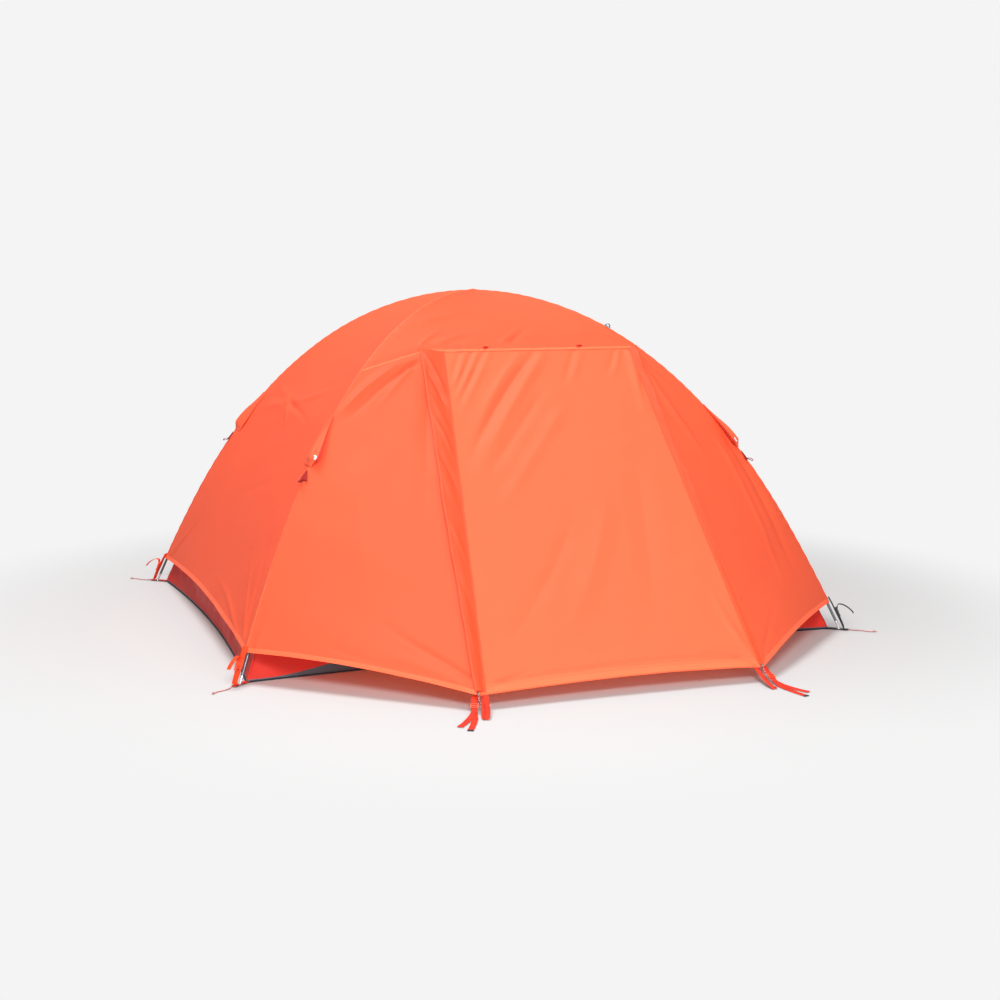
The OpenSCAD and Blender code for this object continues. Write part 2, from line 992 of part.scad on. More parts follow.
module corner_buckles_right() {
    color(DARK)
        for (sy = [-1, 1])
            corner_buckle(1, sy);
}

// ---- Vestibule hem corners: a stake-out strap with a ladder adjuster, and a stake loop ----

strap_run = 62;
strap_tail = 150;
loop_run = 38;
loop_tail = 66;
strap_turns = [-20, 4];

// Places a piece at a hem corner of the front vestibule: -Y outwards, origin on the ground
module at_hem_corner(side) {
    translate([side * door_hem_x, -vestibule_y - 2, 0])
        rotate([0, 0, strap_turns[side < 0 ? 0 : 1]])
            children();
}

// Left edge of a strap that lies gap beyond the corner on the given side
function strap_x(side, gap) = side > 0 ? gap : -web_w - gap;

// Bent strip seen from the side: down from the hem, then flat on the ground
module hem_strip(run, tail) {
    rotate([90, 0, 90])
        linear_extrude(web_w)
            polygon([
                [0, hem_z - 8],
                [-run, web_t],
                [-run - tail, web_t],
                [-run - tail, 0],
                [-run - 1, 0],
                [-1, hem_z - 8 - web_t]
            ]);
}

module hem_corner_straps() {
    for (side = [-1, 1])
        at_hem_corner(side) {
            translate([strap_x(side, 3), 0, 0]) hem_strip(strap_run, strap_tail);
            translate([strap_x(-side, 4), 0, 0]) hem_strip(loop_run, loop_tail);
        }
}

module vestibule_straps() {
    color(RED) {
        hem_corner_straps();
        at_rear() hem_corner_straps();
    }
}

module hem_corner_adjusters() {
    fall = atan2(hem_z - 8 - web_t, strap_run);
    for (side = [-1, 1])
        at_hem_corner(side)
            translate([strap_x(side, 3) - 2, 0, hem_z - 8])
                rotate([fall, 0, 0])
                    translate([0, -30, 0.3])
                        difference() {
                            cube([web_w + 4, 18, 4]);
                            for (y = [3, 11])
                                translate([2, y, -1]) cube([web_w, 4, 6]);
                        }
}

module vestibule_adjusters() {
    color(DARK) {
        hem_corner_adjusters();
        at_rear() hem_corner_adjusters();
    }
}

// ---- Stake-out cords: short, limp, lying on the ground beyond each floor tab ----

// Route from the end of a floor tab: outwards, sideways, height of the centre line
cord_route = [
    [0, 0, 4], [6, 0, 3.6], [12, 1, 2.4], [19, 2, 1.6], [26, 4, 1.6], [33, 5, 1.6], [40, 5, 1.6],
    [47, 4, 1.6], [54, 2, 1.6], [61, 0, 1.6], [68, -2, 1.6], [75, -3, 1.6], [82, -2, 1.6], [89, 0, 1.6]
];
knot_r = 3.4;

module tube(route, r, sides) {
    last = len(route) - 1;
    rings = [
        for (i = [0 : last])
            let (
                along = unit(route[min(i + 1, last)] - route[max(i - 1, 0)]),
                side = unit(cross(along, [0, 0, 1])),
                up = cross(side, along)
            )
            [for (k = [0 : sides - 1])
                route[i] + r * (cos(360 * k / sides) * side + sin(360 * k / sides) * up)]
    ];
    function at(i, k) = i * sides + k % sides;
    polyhedron(
        [for (ring = rings) for (p = ring) p],
        [
            [for (k = [0 : sides - 1]) k],
            for (i = [0 : last - 1]) for (k = [0 : sides - 1]) each [
                [at(i, k), at(i + 1, k), at(i + 1, k + 1)],
                [at(i, k), at(i + 1, k + 1), at(i, k + 1)]
            ],
            [for (k = [sides - 1 : -1 : 0]) at(last, k)]
        ]
    );
}

module stake_cord(sx, sy) {
    color(sx < 0 ? RED : DARK)
        at_corner(sx, sy)
            translate([tab_front, 0, 0])
                tube(cord_route, cord_d / 2, 8);
}

module stake_cord_front_left() {
    stake_cord(-1, -1);
}

module stake_cord_front_right() {
    stake_cord(1, -1);
}

module stake_cord_rear_left() {
    stake_cord(-1, 1);
}

module stake_cord_rear_right() {
    stake_cord(1, 1);
}

module cord_knots() {
    color(RED)
        for (c = vent_corners)
            at_corner(c.x, c.y)
                translate([tab_front + cord_route[len(cord_route) - 1].x + knot_r, 0, knot_r])
                    sphere(knot_r);
}

lower_pole();
upper_pole();
pole_ferrules();
pole_tips();
shock_cords();
crossing_clip();
pole_clips();
corner_grommets();
floor_tabs_left();
floor_tabs_right();
floor_sheet();
tub_front();
tub_rear();
tub_left();
tub_right();
inner_roof();
inner_end_left();
inner_end_right();
inner_wall_front();
inner_wall_rear();
inner_door_front();
inner_door_rear();
inner_zips();
inner_slider_front();
inner_slider_rear();
fly_roof();
fly_end_left();
fly_end_right();
fly_wing_front_left();
fly_wing_front_right();
fly_wing_rear_left();
fly_wing_rear_right();
fly_door_front();
fly_door_rear();
storm_flaps_front();
storm_flaps_rear();
fly_zips();
fly_slider_front_left();
fly_slider_front_right();
fly_slider_rear_left();
fly_slider_rear_right();
vent_hoods();
vent_strut_front_left();
vent_strut_front_right();
vent_strut_rear_left();
vent_strut_rear_right();
guy_tabs();
roll_up_toggles();
corner_straps_left();
corner_straps_right();
corner_buckles_left();
corner_buckles_right();
vestibule_straps();
vestibule_adjusters();
stake_cord_front_left();
stake_cord_front_right();
stake_cord_rear_left();
stake_cord_rear_right();
cord_knots();
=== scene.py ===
"""Dome tent on two crossing poles: the looks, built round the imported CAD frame. All lengths are in metres.

The rear half repeats the front half, turned half round about Z.
"""
import math

import bmesh
import bpy
import numpy as np
from mathutils import Matrix, Vector
from mathutils.bvhtree import BVHTree


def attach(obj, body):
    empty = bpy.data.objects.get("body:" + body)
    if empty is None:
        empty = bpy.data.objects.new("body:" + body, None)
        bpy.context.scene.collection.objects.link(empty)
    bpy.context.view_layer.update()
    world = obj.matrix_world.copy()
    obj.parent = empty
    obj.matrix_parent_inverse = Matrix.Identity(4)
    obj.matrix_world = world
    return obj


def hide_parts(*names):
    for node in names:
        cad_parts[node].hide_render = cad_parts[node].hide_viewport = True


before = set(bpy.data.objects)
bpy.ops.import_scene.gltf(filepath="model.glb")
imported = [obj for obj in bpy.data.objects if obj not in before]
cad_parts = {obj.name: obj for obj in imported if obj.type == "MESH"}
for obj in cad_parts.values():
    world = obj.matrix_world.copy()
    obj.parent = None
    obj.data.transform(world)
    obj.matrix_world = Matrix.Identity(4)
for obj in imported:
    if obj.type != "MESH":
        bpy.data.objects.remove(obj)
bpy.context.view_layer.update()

# ---- Driving dimensions, the same as the frame's ----

FOOT_L = 2.24
FOOT_W = 1.80
SECTION_BENDS = (24, 21, 16, 10, 5)
# How far the poles' centre lines and the inner canopy's ridges lie inside the fly's ridge lines
LOWER_DROP = 0.018
UPPER_DROP = 0.008
INNER_DROP = 0.050
# How far each floor edge curves in at its middle
EDGE_CURVE = 0.045
VESTIBULE_Y = 1.420
HEM_Z = 0.045
DOOR_HEM_W = 0.970
WEB_W = 0.020
WEB_T = 0.0016
FLOOR_T = 0.003
FLOOR_INSET = 0.052
TAB_FRONT = 0.032
TAB_BACK = 0.075
CORD_D = 0.003
KNOT_R = 0.0034
ZIP_GAP = 0.007
STRAP_TURN = {-1: math.radians(-20), 1: math.radians(4)}

# Route of a stake cord from the end of its floor tab: outwards, sideways, height of the centre line
CORD_ROUTE = [
    (0, 0, 0.004), (0.006, 0, 0.0036), (0.012, 0.001, 0.0024), (0.019, 0.002, 0.0016),
    (0.026, 0.004, 0.0016), (0.033, 0.005, 0.0016), (0.040, 0.005, 0.0016), (0.047, 0.004, 0.0016),
    (0.054, 0.002, 0.0016), (0.061, 0, 0.0016), (0.068, -0.002, 0.0016), (0.075, -0.003, 0.0016),
    (0.082, -0.002, 0.0016), (0.089, 0, 0.0016),
]

CORNERS = {
    "front_left": (-1, -1),
    "front_right": (1, -1),
    "rear_left": (-1, 1),
    "rear_right": (1, 1),
}
HALF_TURN = Matrix.Rotation(math.pi, 4, "Z")
HALVES = (("front", Matrix.Identity(4)), ("rear", HALF_TURN))
END_NAMES = {-1: "left", 1: "right"}

# ---- The pole arch: nine equal sections, each bent by its own angle ----

HALF_SECTIONS = len(SECTION_BENDS) - 0.5


def slope_at(u):
    """Downward slope in degrees, u sections from the top."""
    if u <= 0.5:
        return SECTION_BENDS[0] * u
    k = min(len(SECTION_BENDS) - 2, math.floor(u - 0.5))
    return sum(SECTION_BENDS[:k + 1]) - SECTION_BENDS[0] / 2 + SECTION_BENDS[k + 1] * (u - k - 0.5)


def arc_step(u, h0, h1):
    """Step along a circular arc of length u from slope h0 to slope h1: distance out and height."""
    a, b = math.radians(h0), math.radians(h1)
    r = u / (b - a)
    return np.array([r * (math.sin(b) - math.sin(a)), r * (math.cos(b) - math.cos(a))])


def arch_at(u):
    """Place on the arch, u sections from its top, in section lengths."""
    if u <= 0:
        return np.zeros(2)
    if u <= 0.5:
        return arc_step(u, 0, slope_at(u))
    k = min(len(SECTION_BENDS) - 2, math.ceil(u - 0.5) - 1)
    return arch_at(k + 0.5) + arc_step(u - k - 0.5, slope_at(k + 0.5), slope_at(u))


HALF_DIAGONAL = math.hypot(FOOT_L, FOOT_W) / 2
DIAGONAL_ANGLE = math.atan2(FOOT_W, FOOT_L)
SECTION_L = HALF_DIAGONAL / arch_at(HALF_SECTIONS)[0]
PEAK_H = -arch_at(HALF_SECTIONS)[1] * SECTION_L
POLE_HALF_L = HALF_SECTIONS * SECTION_L
CREASE_D = 1.56 * SECTION_L
VENT_D = 2.37 * SECTION_L
GUY_D = 2.85 * SECTION_L
RIDGE_LOOP_D = 1.25 * SECTION_L
HEM_D = POLE_HALF_L - 0.112


def ridge_2d(d, off=0.0):
    """Distance out and height of the ridge line, d along the arch from the top, off outside it."""
    h = math.radians(slope_at(d / SECTION_L))
    return arch_at(d / SECTION_L) * SECTION_L + [off * math.sin(h), PEAK_H + off * math.cos(h)]


def ridge(sx, sy, d, off=0.0):
    out, z = ridge_2d(d, off)
    return np.array([sx * out * math.cos(DIAGONAL_ANGLE), sy * out * math.sin(DIAGONAL_ANGLE), z])


def ridge_line(corner, distances, off=0.0):
    return np.array([ridge(*corner, d, off) for d in distances])


def corner_angle(corner):
    return math.atan2(corner[1] * FOOT_W, corner[0] * FOOT_L)


def ridge_frame(corner, d, off=0.0):
    """A frame on a ridge: X down it, Y across it, Z outwards."""
    out, z = ridge_2d(d, off)
    turn = Matrix.Rotation(corner_angle(corner), 4, "Z")
    lean = Matrix.Rotation(math.radians(slope_at(d / SECTION_L)), 4, "Y")
    return turn @ Matrix.Translation((out, 0, z)) @ lean


def foot_frame(corner):
    """A frame on the ground at a floor corner's grommet: X outwards."""
    drop = LOWER_DROP if corner[0] * corner[1] > 0 else UPPER_DROP
    end_d = POLE_HALF_L - 0.040
    out, z = ridge_2d(end_d, -drop)
    out += (z - FLOOR_T - WEB_T / 2) / math.tan(math.radians(slope_at(end_d / SECTION_L)))
    return Matrix.Rotation(corner_angle(corner), 4, "Z") @ Matrix.Translation((out, 0, 0))


CREASE = ridge(1, 1, CREASE_D)
DOOR_TOP = {-1: -0.310, 1: CREASE[0] - 0.024}
DOOR_TOP_Y = -CREASE[1] - 0.006
DOOR_FALL = CREASE[2] - HEM_Z
DOOR_RUN = VESTIBULE_Y + DOOR_TOP_Y
DOOR_SLOPE = math.atan2(DOOR_FALL, DOOR_RUN)
DOOR_L = math.hypot(DOOR_FALL, DOOR_RUN)
DOOR_FRAME = Matrix.Translation((0, DOOR_TOP_Y, CREASE[2])) @ Matrix.Rotation(DOOR_SLOPE, 4, "X")


def zip_x(side, share):
    """Where a zip line crosses a level of the front door, share of the way down."""
    return DOOR_TOP[side] * (1 - share) + side * DOOR_HEM_W / 2 * share


def zip_frame(side):
    """A frame at the top of a front zip line: -Y down the zip, Z outwards."""
    tilt = math.atan2(zip_x(side, 1) - zip_x(side, 0), DOOR_L)
    return DOOR_FRAME @ Matrix.Translation((zip_x(side, 0), 0, 0)) @ Matrix.Rotation(tilt, 4, "Z")


def zip_length(side):
    return math.hypot(zip_x(side, 1) - zip_x(side, 0), DOOR_L)


# ---- Small tools for points ----

def unit(v):
    v = np.asarray(v, float)
    return v / np.maximum(np.linalg.norm(v, axis=-1, keepdims=True), 1e-12)


def bulge(f):
    return 4 * f * (1 - f)


def eased(low, high, x):
    t = np.clip((x - low) / (high - low), 0, 1)
    return t * t * (3 - 2 * t)


def moved(matrix, points):
    """Points of any grid, carried by a matrix."""
    m = np.array(matrix)
    return np.asarray(points, float) @ m[:3, :3].T + m[:3, 3]


def at(place, x, y, z):
    """A frame moved by x, y, z in its own directions."""
    return place @ Matrix.Translation((x, y, z))


def axis(place, k):
    """The direction of a frame's X, Y or Z, for k of 0, 1 or 2."""
    return np.array(place.col[k])[:3]


def directed(place, directions):
    """Directions turned by a frame, without its shift."""
    return np.asarray(directions, float) @ np.array(place)[:3, :3].T


def smooth_path(points, count):
    """count points on a smooth curve through the given ones."""
    p = np.asarray(points, float)
    p = np.vstack([2 * p[0] - p[1], p, 2 * p[-1] - p[-2]])
    out = []
    for t in np.linspace(0, len(points) - 1, count):
        i = min(int(t), len(points) - 2)
        f = t - i
        a, b, c, d = p[i:i + 4]
        out.append(0.5 * (2 * b + (c - a) * f + (2 * a - 5 * b + 4 * c - d) * f**2
                          + (3 * b - a - 3 * c + d) * f**3))
    return np.array(out)


def along_line(points, line, reach):
    """Distance from each point to a line, where under reach, and the share along it of the nearest place."""
    best = np.full(len(points), 1e9)
    share = np.zeros(len(points))
    lengths = np.linalg.norm(np.diff(line, axis=0), axis=1)
    start = 0.0
    for a, b, length in zip(line[:-1], line[1:], lengths):
        low, high = np.minimum(a, b) - reach, np.maximum(a, b) + reach
        near = np.flatnonzero(np.all((points > low) & (points < high), axis=1))
        spots = points[near]
        t = np.clip(((spots - a) @ (b - a)) / length**2, 0, 1)
        gap = np.linalg.norm(spots - a - t[:, None] * (b - a), axis=1)
        closer = gap < best[near]
        best[near[closer]] = gap[closer]
        share[near[closer]] = (start + t[closer] * length) / lengths.sum()
        start += length
    return best, share


def waves(points, wavelength, seed, count=7):
    """A smooth random height field of about unit size, the same on every run."""
    rng = np.random.default_rng(seed)
    total = np.zeros(len(points))
    for _ in range(count):
        direction = unit(rng.normal(size=3))
        pace = 2 * math.pi / wavelength * rng.uniform(0.7, 1.3)
        total += np.sin(points @ direction * pace + rng.uniform(0, 2 * math.pi))
    return total / math.sqrt(count)


# ---- Meshes ----

UV_NAME = "cloth"


def grid_faces(rows, cols, start=0, around=False):
    """Quads of a grid of points; around joins the last column to the first."""
    last = cols if around else cols - 1
    return [
        (start + r * cols + c, start + (r + 1) * cols + c,
         start + (r + 1) * cols + (c + 1) % cols, start + r * cols + (c + 1) % cols)
        for r in range(rows - 1) for c in range(last)
    ]


class Shape:
    """Points, faces and cloth coordinates, gathered from several surfaces into one mesh."""

    def __init__(self):
        self.points = []
        self.uvs = []
        self.faces = []
        self.marks = []

    def add(self, points, uvs, faces, mark=0):
        start = len(self.points)
        self.points.extend(map(tuple, np.asarray(points, float).reshape(-1, 3)))
        self.uvs.extend(map(tuple, np.asarray(uvs, float).reshape(-1, 2)))
        self.faces.extend(tuple(start + i for i in face) for face in faces)
        self.marks.extend([mark] * len(faces))

    def grid(self, points, mark=0):
        """An open sheet of rows, top to bottom, each from left to right as seen from outside."""
        rows, cols = points.shape[:2]
        across = np.zeros((rows, cols))
        across[:, 1:] = np.cumsum(np.linalg.norm(np.diff(points, axis=1), axis=2), axis=1)
        across -= across[:, -1:] / 2
        down = np.zeros(rows)
        middle = points[:, cols // 2]
        down[1:] = np.cumsum(np.linalg.norm(np.diff(middle, axis=0), axis=1))
        uvs = np.dstack([across, np.repeat(down[:, None], cols, axis=1)])
        self.add(points, uvs, grid_faces(rows, cols), mark)

    def rings(self, rings, width, mark=0):
        """A closed body through rings of points, with flat ends. width is the way round it."""
        rings = np.asarray(rings, float)
        count, sides = rings.shape[:2]
        middles = rings.mean(axis=1)
        run = np.zeros(count)
        run[1:] = np.cumsum(np.linalg.norm(np.diff(middles, axis=0), axis=1))
        uvs = [(run[r], width * c / sides) for r in range(count) for c in range(sides)]
        faces = grid_faces(count, sides, around=True)
        faces.append(tuple(range(sides)))
        faces.append(tuple(reversed(range((count - 1) * sides, count * sides))))
        self.add(rings, uvs, faces, mark)

    def ribbon(self, path, across, width, thick, mark=0):
        """A flat strap along a path; across points from its middle to its edge at each point."""
        path = np.asarray(path, float)
        across = unit(np.broadcast_to(np.asarray(across, float), path.shape))
        up = unit(np.cross(across, unit(np.gradient(path, axis=0))))
        across = unit(np.cross(unit(np.gradient(path, axis=0)), up))
        w, t = width / 2, thick / 2
        outline = [(-w, 0), (-0.94 * w, t), (0, t), (0.94 * w, t)]
        outline += [(-x, -z) for x, z in outline]
        rings = [[p + a * x + u * z for x, z in outline] for p, a, u in zip(path, across, up)]
        self.rings(rings, 2 * width, mark)

    def tube(self, path, radius, sides=12, mark=0):
        """A round tube; radius is one number or one for each point of the path."""
        path = np.asarray(path, float)
        radii = np.broadcast_to(np.asarray(radius, float), len(path))
        along = unit(np.gradient(path, axis=0))
        side = unit(np.cross(along[0], (0.31, 0.17, 0.93)))
        rings = []
        for p, a, r in zip(path, along, radii):
            side = unit(side - a * (side @ a))
            up = np.cross(a, side)
            angles = np.arange(sides) * 2 * math.pi / sides
            rings.append([p + r * (math.cos(t) * side + math.sin(t) * up) for t in angles])
        self.rings(rings, 2 * math.pi * float(np.max(radii)), mark)

    def strap(self, place, route, count, across, width, thick=WEB_T, mark=0):
        """A ribbon on a smooth curve through a route, given in a frame."""
        self.ribbon(moved(place, smooth_path(route, count)), across, width, thick, mark)

    def bent_tube(self, place, route, count, radius, sides=8, mark=0):
        """A tube on a smooth curve through a route, given in a frame."""
        self.tube(moved(place, smooth_path(route, count)), radius, sides, mark)

    def blocks(self, place, bevel, *parts):
        """Blocks, each given by its middle in a frame and its size."""
        for middle, size in parts:
            self.block(at(place, *middle), size, bevel)

    def block(self, matrix, size, bevel=0.0008, mark=0):
        """A small moulded block with rounded edges, centred on the matrix."""
        bm = bmesh.new()
        bmesh.ops.create_cube(bm, size=1)
        bmesh.ops.scale(bm, vec=size, verts=bm.verts)
        bmesh.ops.bevel(bm, geom=bm.edges, offset=bevel, segments=3, profile=0.5, affect="EDGES")
        points = moved(matrix, [v.co for v in bm.verts])
        uvs = [(v.co.x + v.co.z, v.co.y + v.co.z) for v in bm.verts]
        bm.verts.index_update()
        self.add(points, uvs, [[v.index for v in f.verts] for f in bm.faces], mark)
        bm.free()

    def turned(self, matrix):
        """This shape with a copy of it moved by a matrix."""
        both = Shape()
        for m in (Matrix.Identity(4), matrix):
            both.add(moved(m, self.points), self.uvs, self.faces)
        both.marks = self.marks * 2
        return both

    def piece(self, name, body, materials, slot, replaces=(), weld=0.0, crisp=None):
        """The finished object, riding on its body."""
        mesh = bpy.data.meshes.new(name)
        mesh.from_pydata(self.points, [], self.faces)
        uv_layer = mesh.uv_layers.new(name=UV_NAME)
        index = np.zeros(len(mesh.loops), int)
        mesh.loops.foreach_get("vertex_index", index)
        uv_layer.data.foreach_set("uv", np.array(self.uvs)[index].ravel())
        mesh.polygons.foreach_set("material_index", self.marks)
        if weld:
            weld_mesh(mesh, weld)
        mesh.shade_smooth()
        if crisp is not None:
            mesh.set_sharp_from_angle(angle=math.radians(crisp))
        for material in materials:
            mesh.materials.append(material)
        mesh.validate()
        obj = bpy.data.objects.new(name, mesh)
        bpy.context.scene.collection.objects.link(obj)
        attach(obj, body)
        if replaces:
            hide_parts(*replaces)
        return obj


def weld_mesh(mesh, distance):
    bm = bmesh.new()
    bm.from_mesh(mesh)
    bmesh.ops.remove_doubles(bm, verts=bm.verts, dist=distance)
    bmesh.ops.dissolve_degenerate(bm, dist=distance, edges=bm.edges)
    bm.to_mesh(mesh)
    bm.free()


def coordinates(obj):
    co = np.zeros(len(obj.data.vertices) * 3)
    obj.data.vertices.foreach_get("co", co)
    return co.reshape(-1, 3)


def push_out(obj, height):
    """Moves each point of a mesh along its normal by height(points)."""
    points = coordinates(obj)
    normals = np.zeros(len(points) * 3)
    obj.data.vertices.foreach_get("normal", normals)
    points = points + normals.reshape(-1, 3) * height(points)[:, None]
    obj.data.vertices.foreach_set("co", points.ravel())
    obj.data.update()


def surface_tree(obj):
    return BVHTree.FromPolygons([v.co for v in obj.data.vertices], [p.vertices for p in obj.data.polygons])


def sewn_band(shape, tree, line, width, lift, side=0.0, cols=4):
    """A thin band laid on a surface along a line, side of it by a share of half its width."""
    line = np.asarray(line, float)
    along = unit(np.gradient(line, axis=0))
    shares = np.linspace(-1, 1, cols + 1) + side
    top, low = [], []
    for p, a in zip(line, along):
        hit, normal, _, _ = tree.find_nearest(Vector(p))
        across = unit(np.cross(a, normal))
        row_top, row_low = [], []
        for i, s in enumerate(shares):
            spot, n, _, _ = tree.find_nearest(Vector(np.array(hit) + across * s * width / 2))
            edge = 0.35 if i in (0, cols) else 1.0
            row_top.append(np.array(spot) + np.array(n) * lift * edge)
            row_low.append(np.array(spot) - np.array(n) * lift * 0.2)
        top.append(row_top)
        low.append(row_low)
    rings = [t + b[::-1] for t, b in zip(top, low)]
    shape.rings(rings, 2 * width)


# ---- Materials ----

class Surface:
    """A node material under construction, with short ways to add nodes."""

    def __init__(self, name):
        self.material = bpy.data.materials.new(name)
        self.material.use_nodes = True
        self.tree = self.material.node_tree
        self.shader = self.tree.nodes["Principled BSDF"]
        self.output = self.tree.nodes["Material Output"]

    def node(self, kind, **settings):
        made = self.tree.nodes.new(kind)
        for key, value in settings.items():
            setattr(made, key, value)
        return made

    def join(self, source, target):
        self.tree.links.new(source, target)

    def feed(self, socket, value):
        if isinstance(value, (int, float, tuple)):
            socket.default_value = value
        else:
            self.join(value, socket)

    def math(self, operation, a, b=0.0, clamp=False):
        made = self.node("ShaderNodeMath", operation=operation, use_clamp=clamp)
        self.feed(made.inputs[0], a)
        self.feed(made.inputs[1], b)
        return made.outputs[0]

    def cloth_axes(self):
        """Metres across and down the cloth."""
        split = self.node("ShaderNodeSeparateXYZ")
        self.join(self.node("ShaderNodeUVMap", uv_map=UV_NAME).outputs["UV"], split.inputs[0])
        return split.outputs["X"], split.outputs["Y"]

    def place(self):
        return self.node("ShaderNodeTexCoord").outputs["Object"]

    def noise(self, scale, detail=2.0):
        made = self.node("ShaderNodeTexNoise")
        made.inputs["Scale"].default_value = scale
        made.inputs["Detail"].default_value = detail
        self.join(self.place(), made.inputs["Vector"])
        return made.outputs["Fac"]

    def wave(self, axis, pitch):
        return self.math("SINE", self.math("MULTIPLY", axis, 2 * math.pi / pitch))

    def blend(self, factor, a, b):
        """Mixes two colours."""
        made = self.node("ShaderNodeMix", data_type="RGBA")
        self.feed(made.inputs["Factor"], factor)
        self.feed(made.inputs[6], a)
        self.feed(made.inputs[7], b)
        return made.outputs[2]

    def bump(self, height, distance, strength=1.0, under=None):
        made = self.node("ShaderNodeBump")
        made.inputs["Strength"].default_value = strength
        made.inputs["Distance"].default_value = distance
        self.join(height, made.inputs["Height"])
        if under is not None:
            self.join(under, made.inputs["Normal"])
        return made.outputs["Normal"]

    def set(self, **values):
        for key, value in values.items():
            self.feed(self.shader.inputs[key.replace("_", " ")], value)


def shade(colour, share):
    return (colour[0] * share, colour[1] * share, colour[2] * share, 1.0)


def weave_height(s, pitch, rip=0.0):
    """Height of a plain weave, with a thicker thread every rip metres where rip is given."""
    u, v = s.cloth_axes()
    height = s.math("MULTIPLY", s.wave(u, pitch), s.wave(v, pitch))
    if rip:
        for axis in (u, v):
            line = s.math("POWER", s.math("ABSOLUTE", s.wave(axis, 2 * rip)), 40.0)
            height = s.math("ADD", height, s.math("MULTIPLY", line, 1.4))
    return height


def cloth(name, colour, glow, translucency, roughness=0.55, sheen=0.0, pitch=0.0009, rip=0.0, specular=0.22):
    """Woven cloth that lets some light through."""
    s = Surface(name)
    drift = s.noise(2.2, 3.0)
    thread = s.math("MULTIPLY", s.noise(900.0, 1.0), 0.5)
    tone = s.math("ADD", s.math("MULTIPLY", drift, 0.5), thread, clamp=True)
    s.set(Base_Color=s.blend(tone, shade(colour, 0.93), shade(colour, 1.06)))
    s.set(Roughness=roughness, Specular_IOR_Level=specular, Sheen_Weight=sheen, Sheen_Roughness=0.4)
    crumple = s.bump(s.noise(28.0, 4.0), 0.0016, 0.35)
    normal = s.bump(weave_height(s, pitch, rip), 0.00012, 0.5, crumple)
    s.join(normal, s.shader.inputs["Normal"])
    if translucency:
        through = s.node("ShaderNodeBsdfTranslucent")
        through.inputs["Color"].default_value = (*glow, 1.0)
        s.join(crumple, through.inputs["Normal"])
        mix = s.node("ShaderNodeMixShader")
        mix.inputs[0].default_value = translucency
        s.join(s.shader.outputs[0], mix.inputs[1])
        s.join(through.outputs[0], mix.inputs[2])
        s.join(mix.outputs[0], s.output.inputs[0])
    return s.material


def stitched(name, colour, thread, rows, width, stitch=0.0045):
    """Folded, sewn cloth: rows of stitches run along it, at the given shares of its width."""
    s = Surface(name)
    u, v = s.cloth_axes()
    across = s.math("DIVIDE", v, width)
    dash = s.math("GREATER_THAN", s.wave(u, stitch), -0.35)
    mask = None
    for row in rows:
        near = s.math("LESS_THAN", s.math("ABSOLUTE", s.math("SUBTRACT", across, row)), 0.0006 / width)
        one = s.math("MULTIPLY", near, dash)
        mask = one if mask is None else s.math("MAXIMUM", mask, one)
    tone = s.blend(s.noise(3.0, 2.0), shade(colour, 0.92), shade(colour, 1.05))
    s.set(Base_Color=s.blend(mask, tone, (*thread, 1.0)))
    s.set(Roughness=0.6, Specular_IOR_Level=0.2)
    pucker = s.bump(s.noise(160.0, 2.0), 0.0008, 0.5)
    dents = s.bump(mask, 0.0006, -0.6, pucker)
    s.join(s.bump(weave_height(s, 0.0009), 0.0001, 0.4, dents), s.shader.inputs["Normal"])
    return s.material


def webbing(name, colour, edge):
    """Flat woven strap: ribs across it, a herringbone line and slightly fuzzy, darker edges."""
    s = Surface(name)
    u, v = s.cloth_axes()
    ribs = s.math("ADD", s.wave(u, 0.0022), s.math("MULTIPLY", s.wave(v, 0.0017), 0.8))
    twill = s.wave(s.math("ADD", u, s.math("ABSOLUTE", s.math("SUBTRACT", v, WEB_W / 2))), 0.003)
    height = s.math("ADD", ribs, twill)
    tone = s.math("ADD", s.math("MULTIPLY", height, 0.12), s.noise(60.0, 3.0), clamp=True)
    s.set(Base_Color=s.blend(tone, shade(edge, 1.0), shade(colour, 1.1)))
    s.set(Roughness=0.62, Specular_IOR_Level=0.15)
    s.join(s.bump(height, 0.0003, 0.6), s.shader.inputs["Normal"])
    return s.material


def braid(name, colour, fleck):
    """Round braided cord with a tracer thread."""
    s = Surface(name)
    u, v = s.cloth_axes()
    left = s.wave(s.math("ADD", u, v), 0.0019)
    right = s.wave(s.math("SUBTRACT", u, v), 0.0019)
    height = s.math("MAXIMUM", left, right)
    tracer = s.math("GREATER_THAN", s.wave(s.math("ADD", u, s.math("MULTIPLY", v, 2.0)), 0.0095), 0.86)
    tone = s.blend(s.noise(300.0, 2.0), shade(colour, 0.8), shade(colour, 1.15))
    s.set(Base_Color=s.blend(tracer, tone, (*fleck, 1.0)))
    s.set(Roughness=0.6, Specular_IOR_Level=0.2)
    s.join(s.bump(height, 0.0004, 0.7), s.shader.inputs["Normal"])
    return s.material


def plastic(name, colour, roughness=0.42):
    """Moulded acetal: a fine matt texture and rubbed, lighter patches."""
    s = Surface(name)
    rub = s.math("MULTIPLY", s.noise(110.0, 4.0), 0.9, clamp=True)
    s.set(Base_Color=s.blend(rub, shade(colour, 0.9), shade(colour, 1.25)))
    s.set(Roughness=s.math("ADD", s.math("MULTIPLY", s.noise(45.0, 3.0), 0.2), roughness - 0.1))
    s.set(Specular_IOR_Level=0.45)
    s.join(s.bump(s.noise(2600.0, 2.0), 0.00008, 0.6), s.shader.inputs["Normal"])
    return s.material


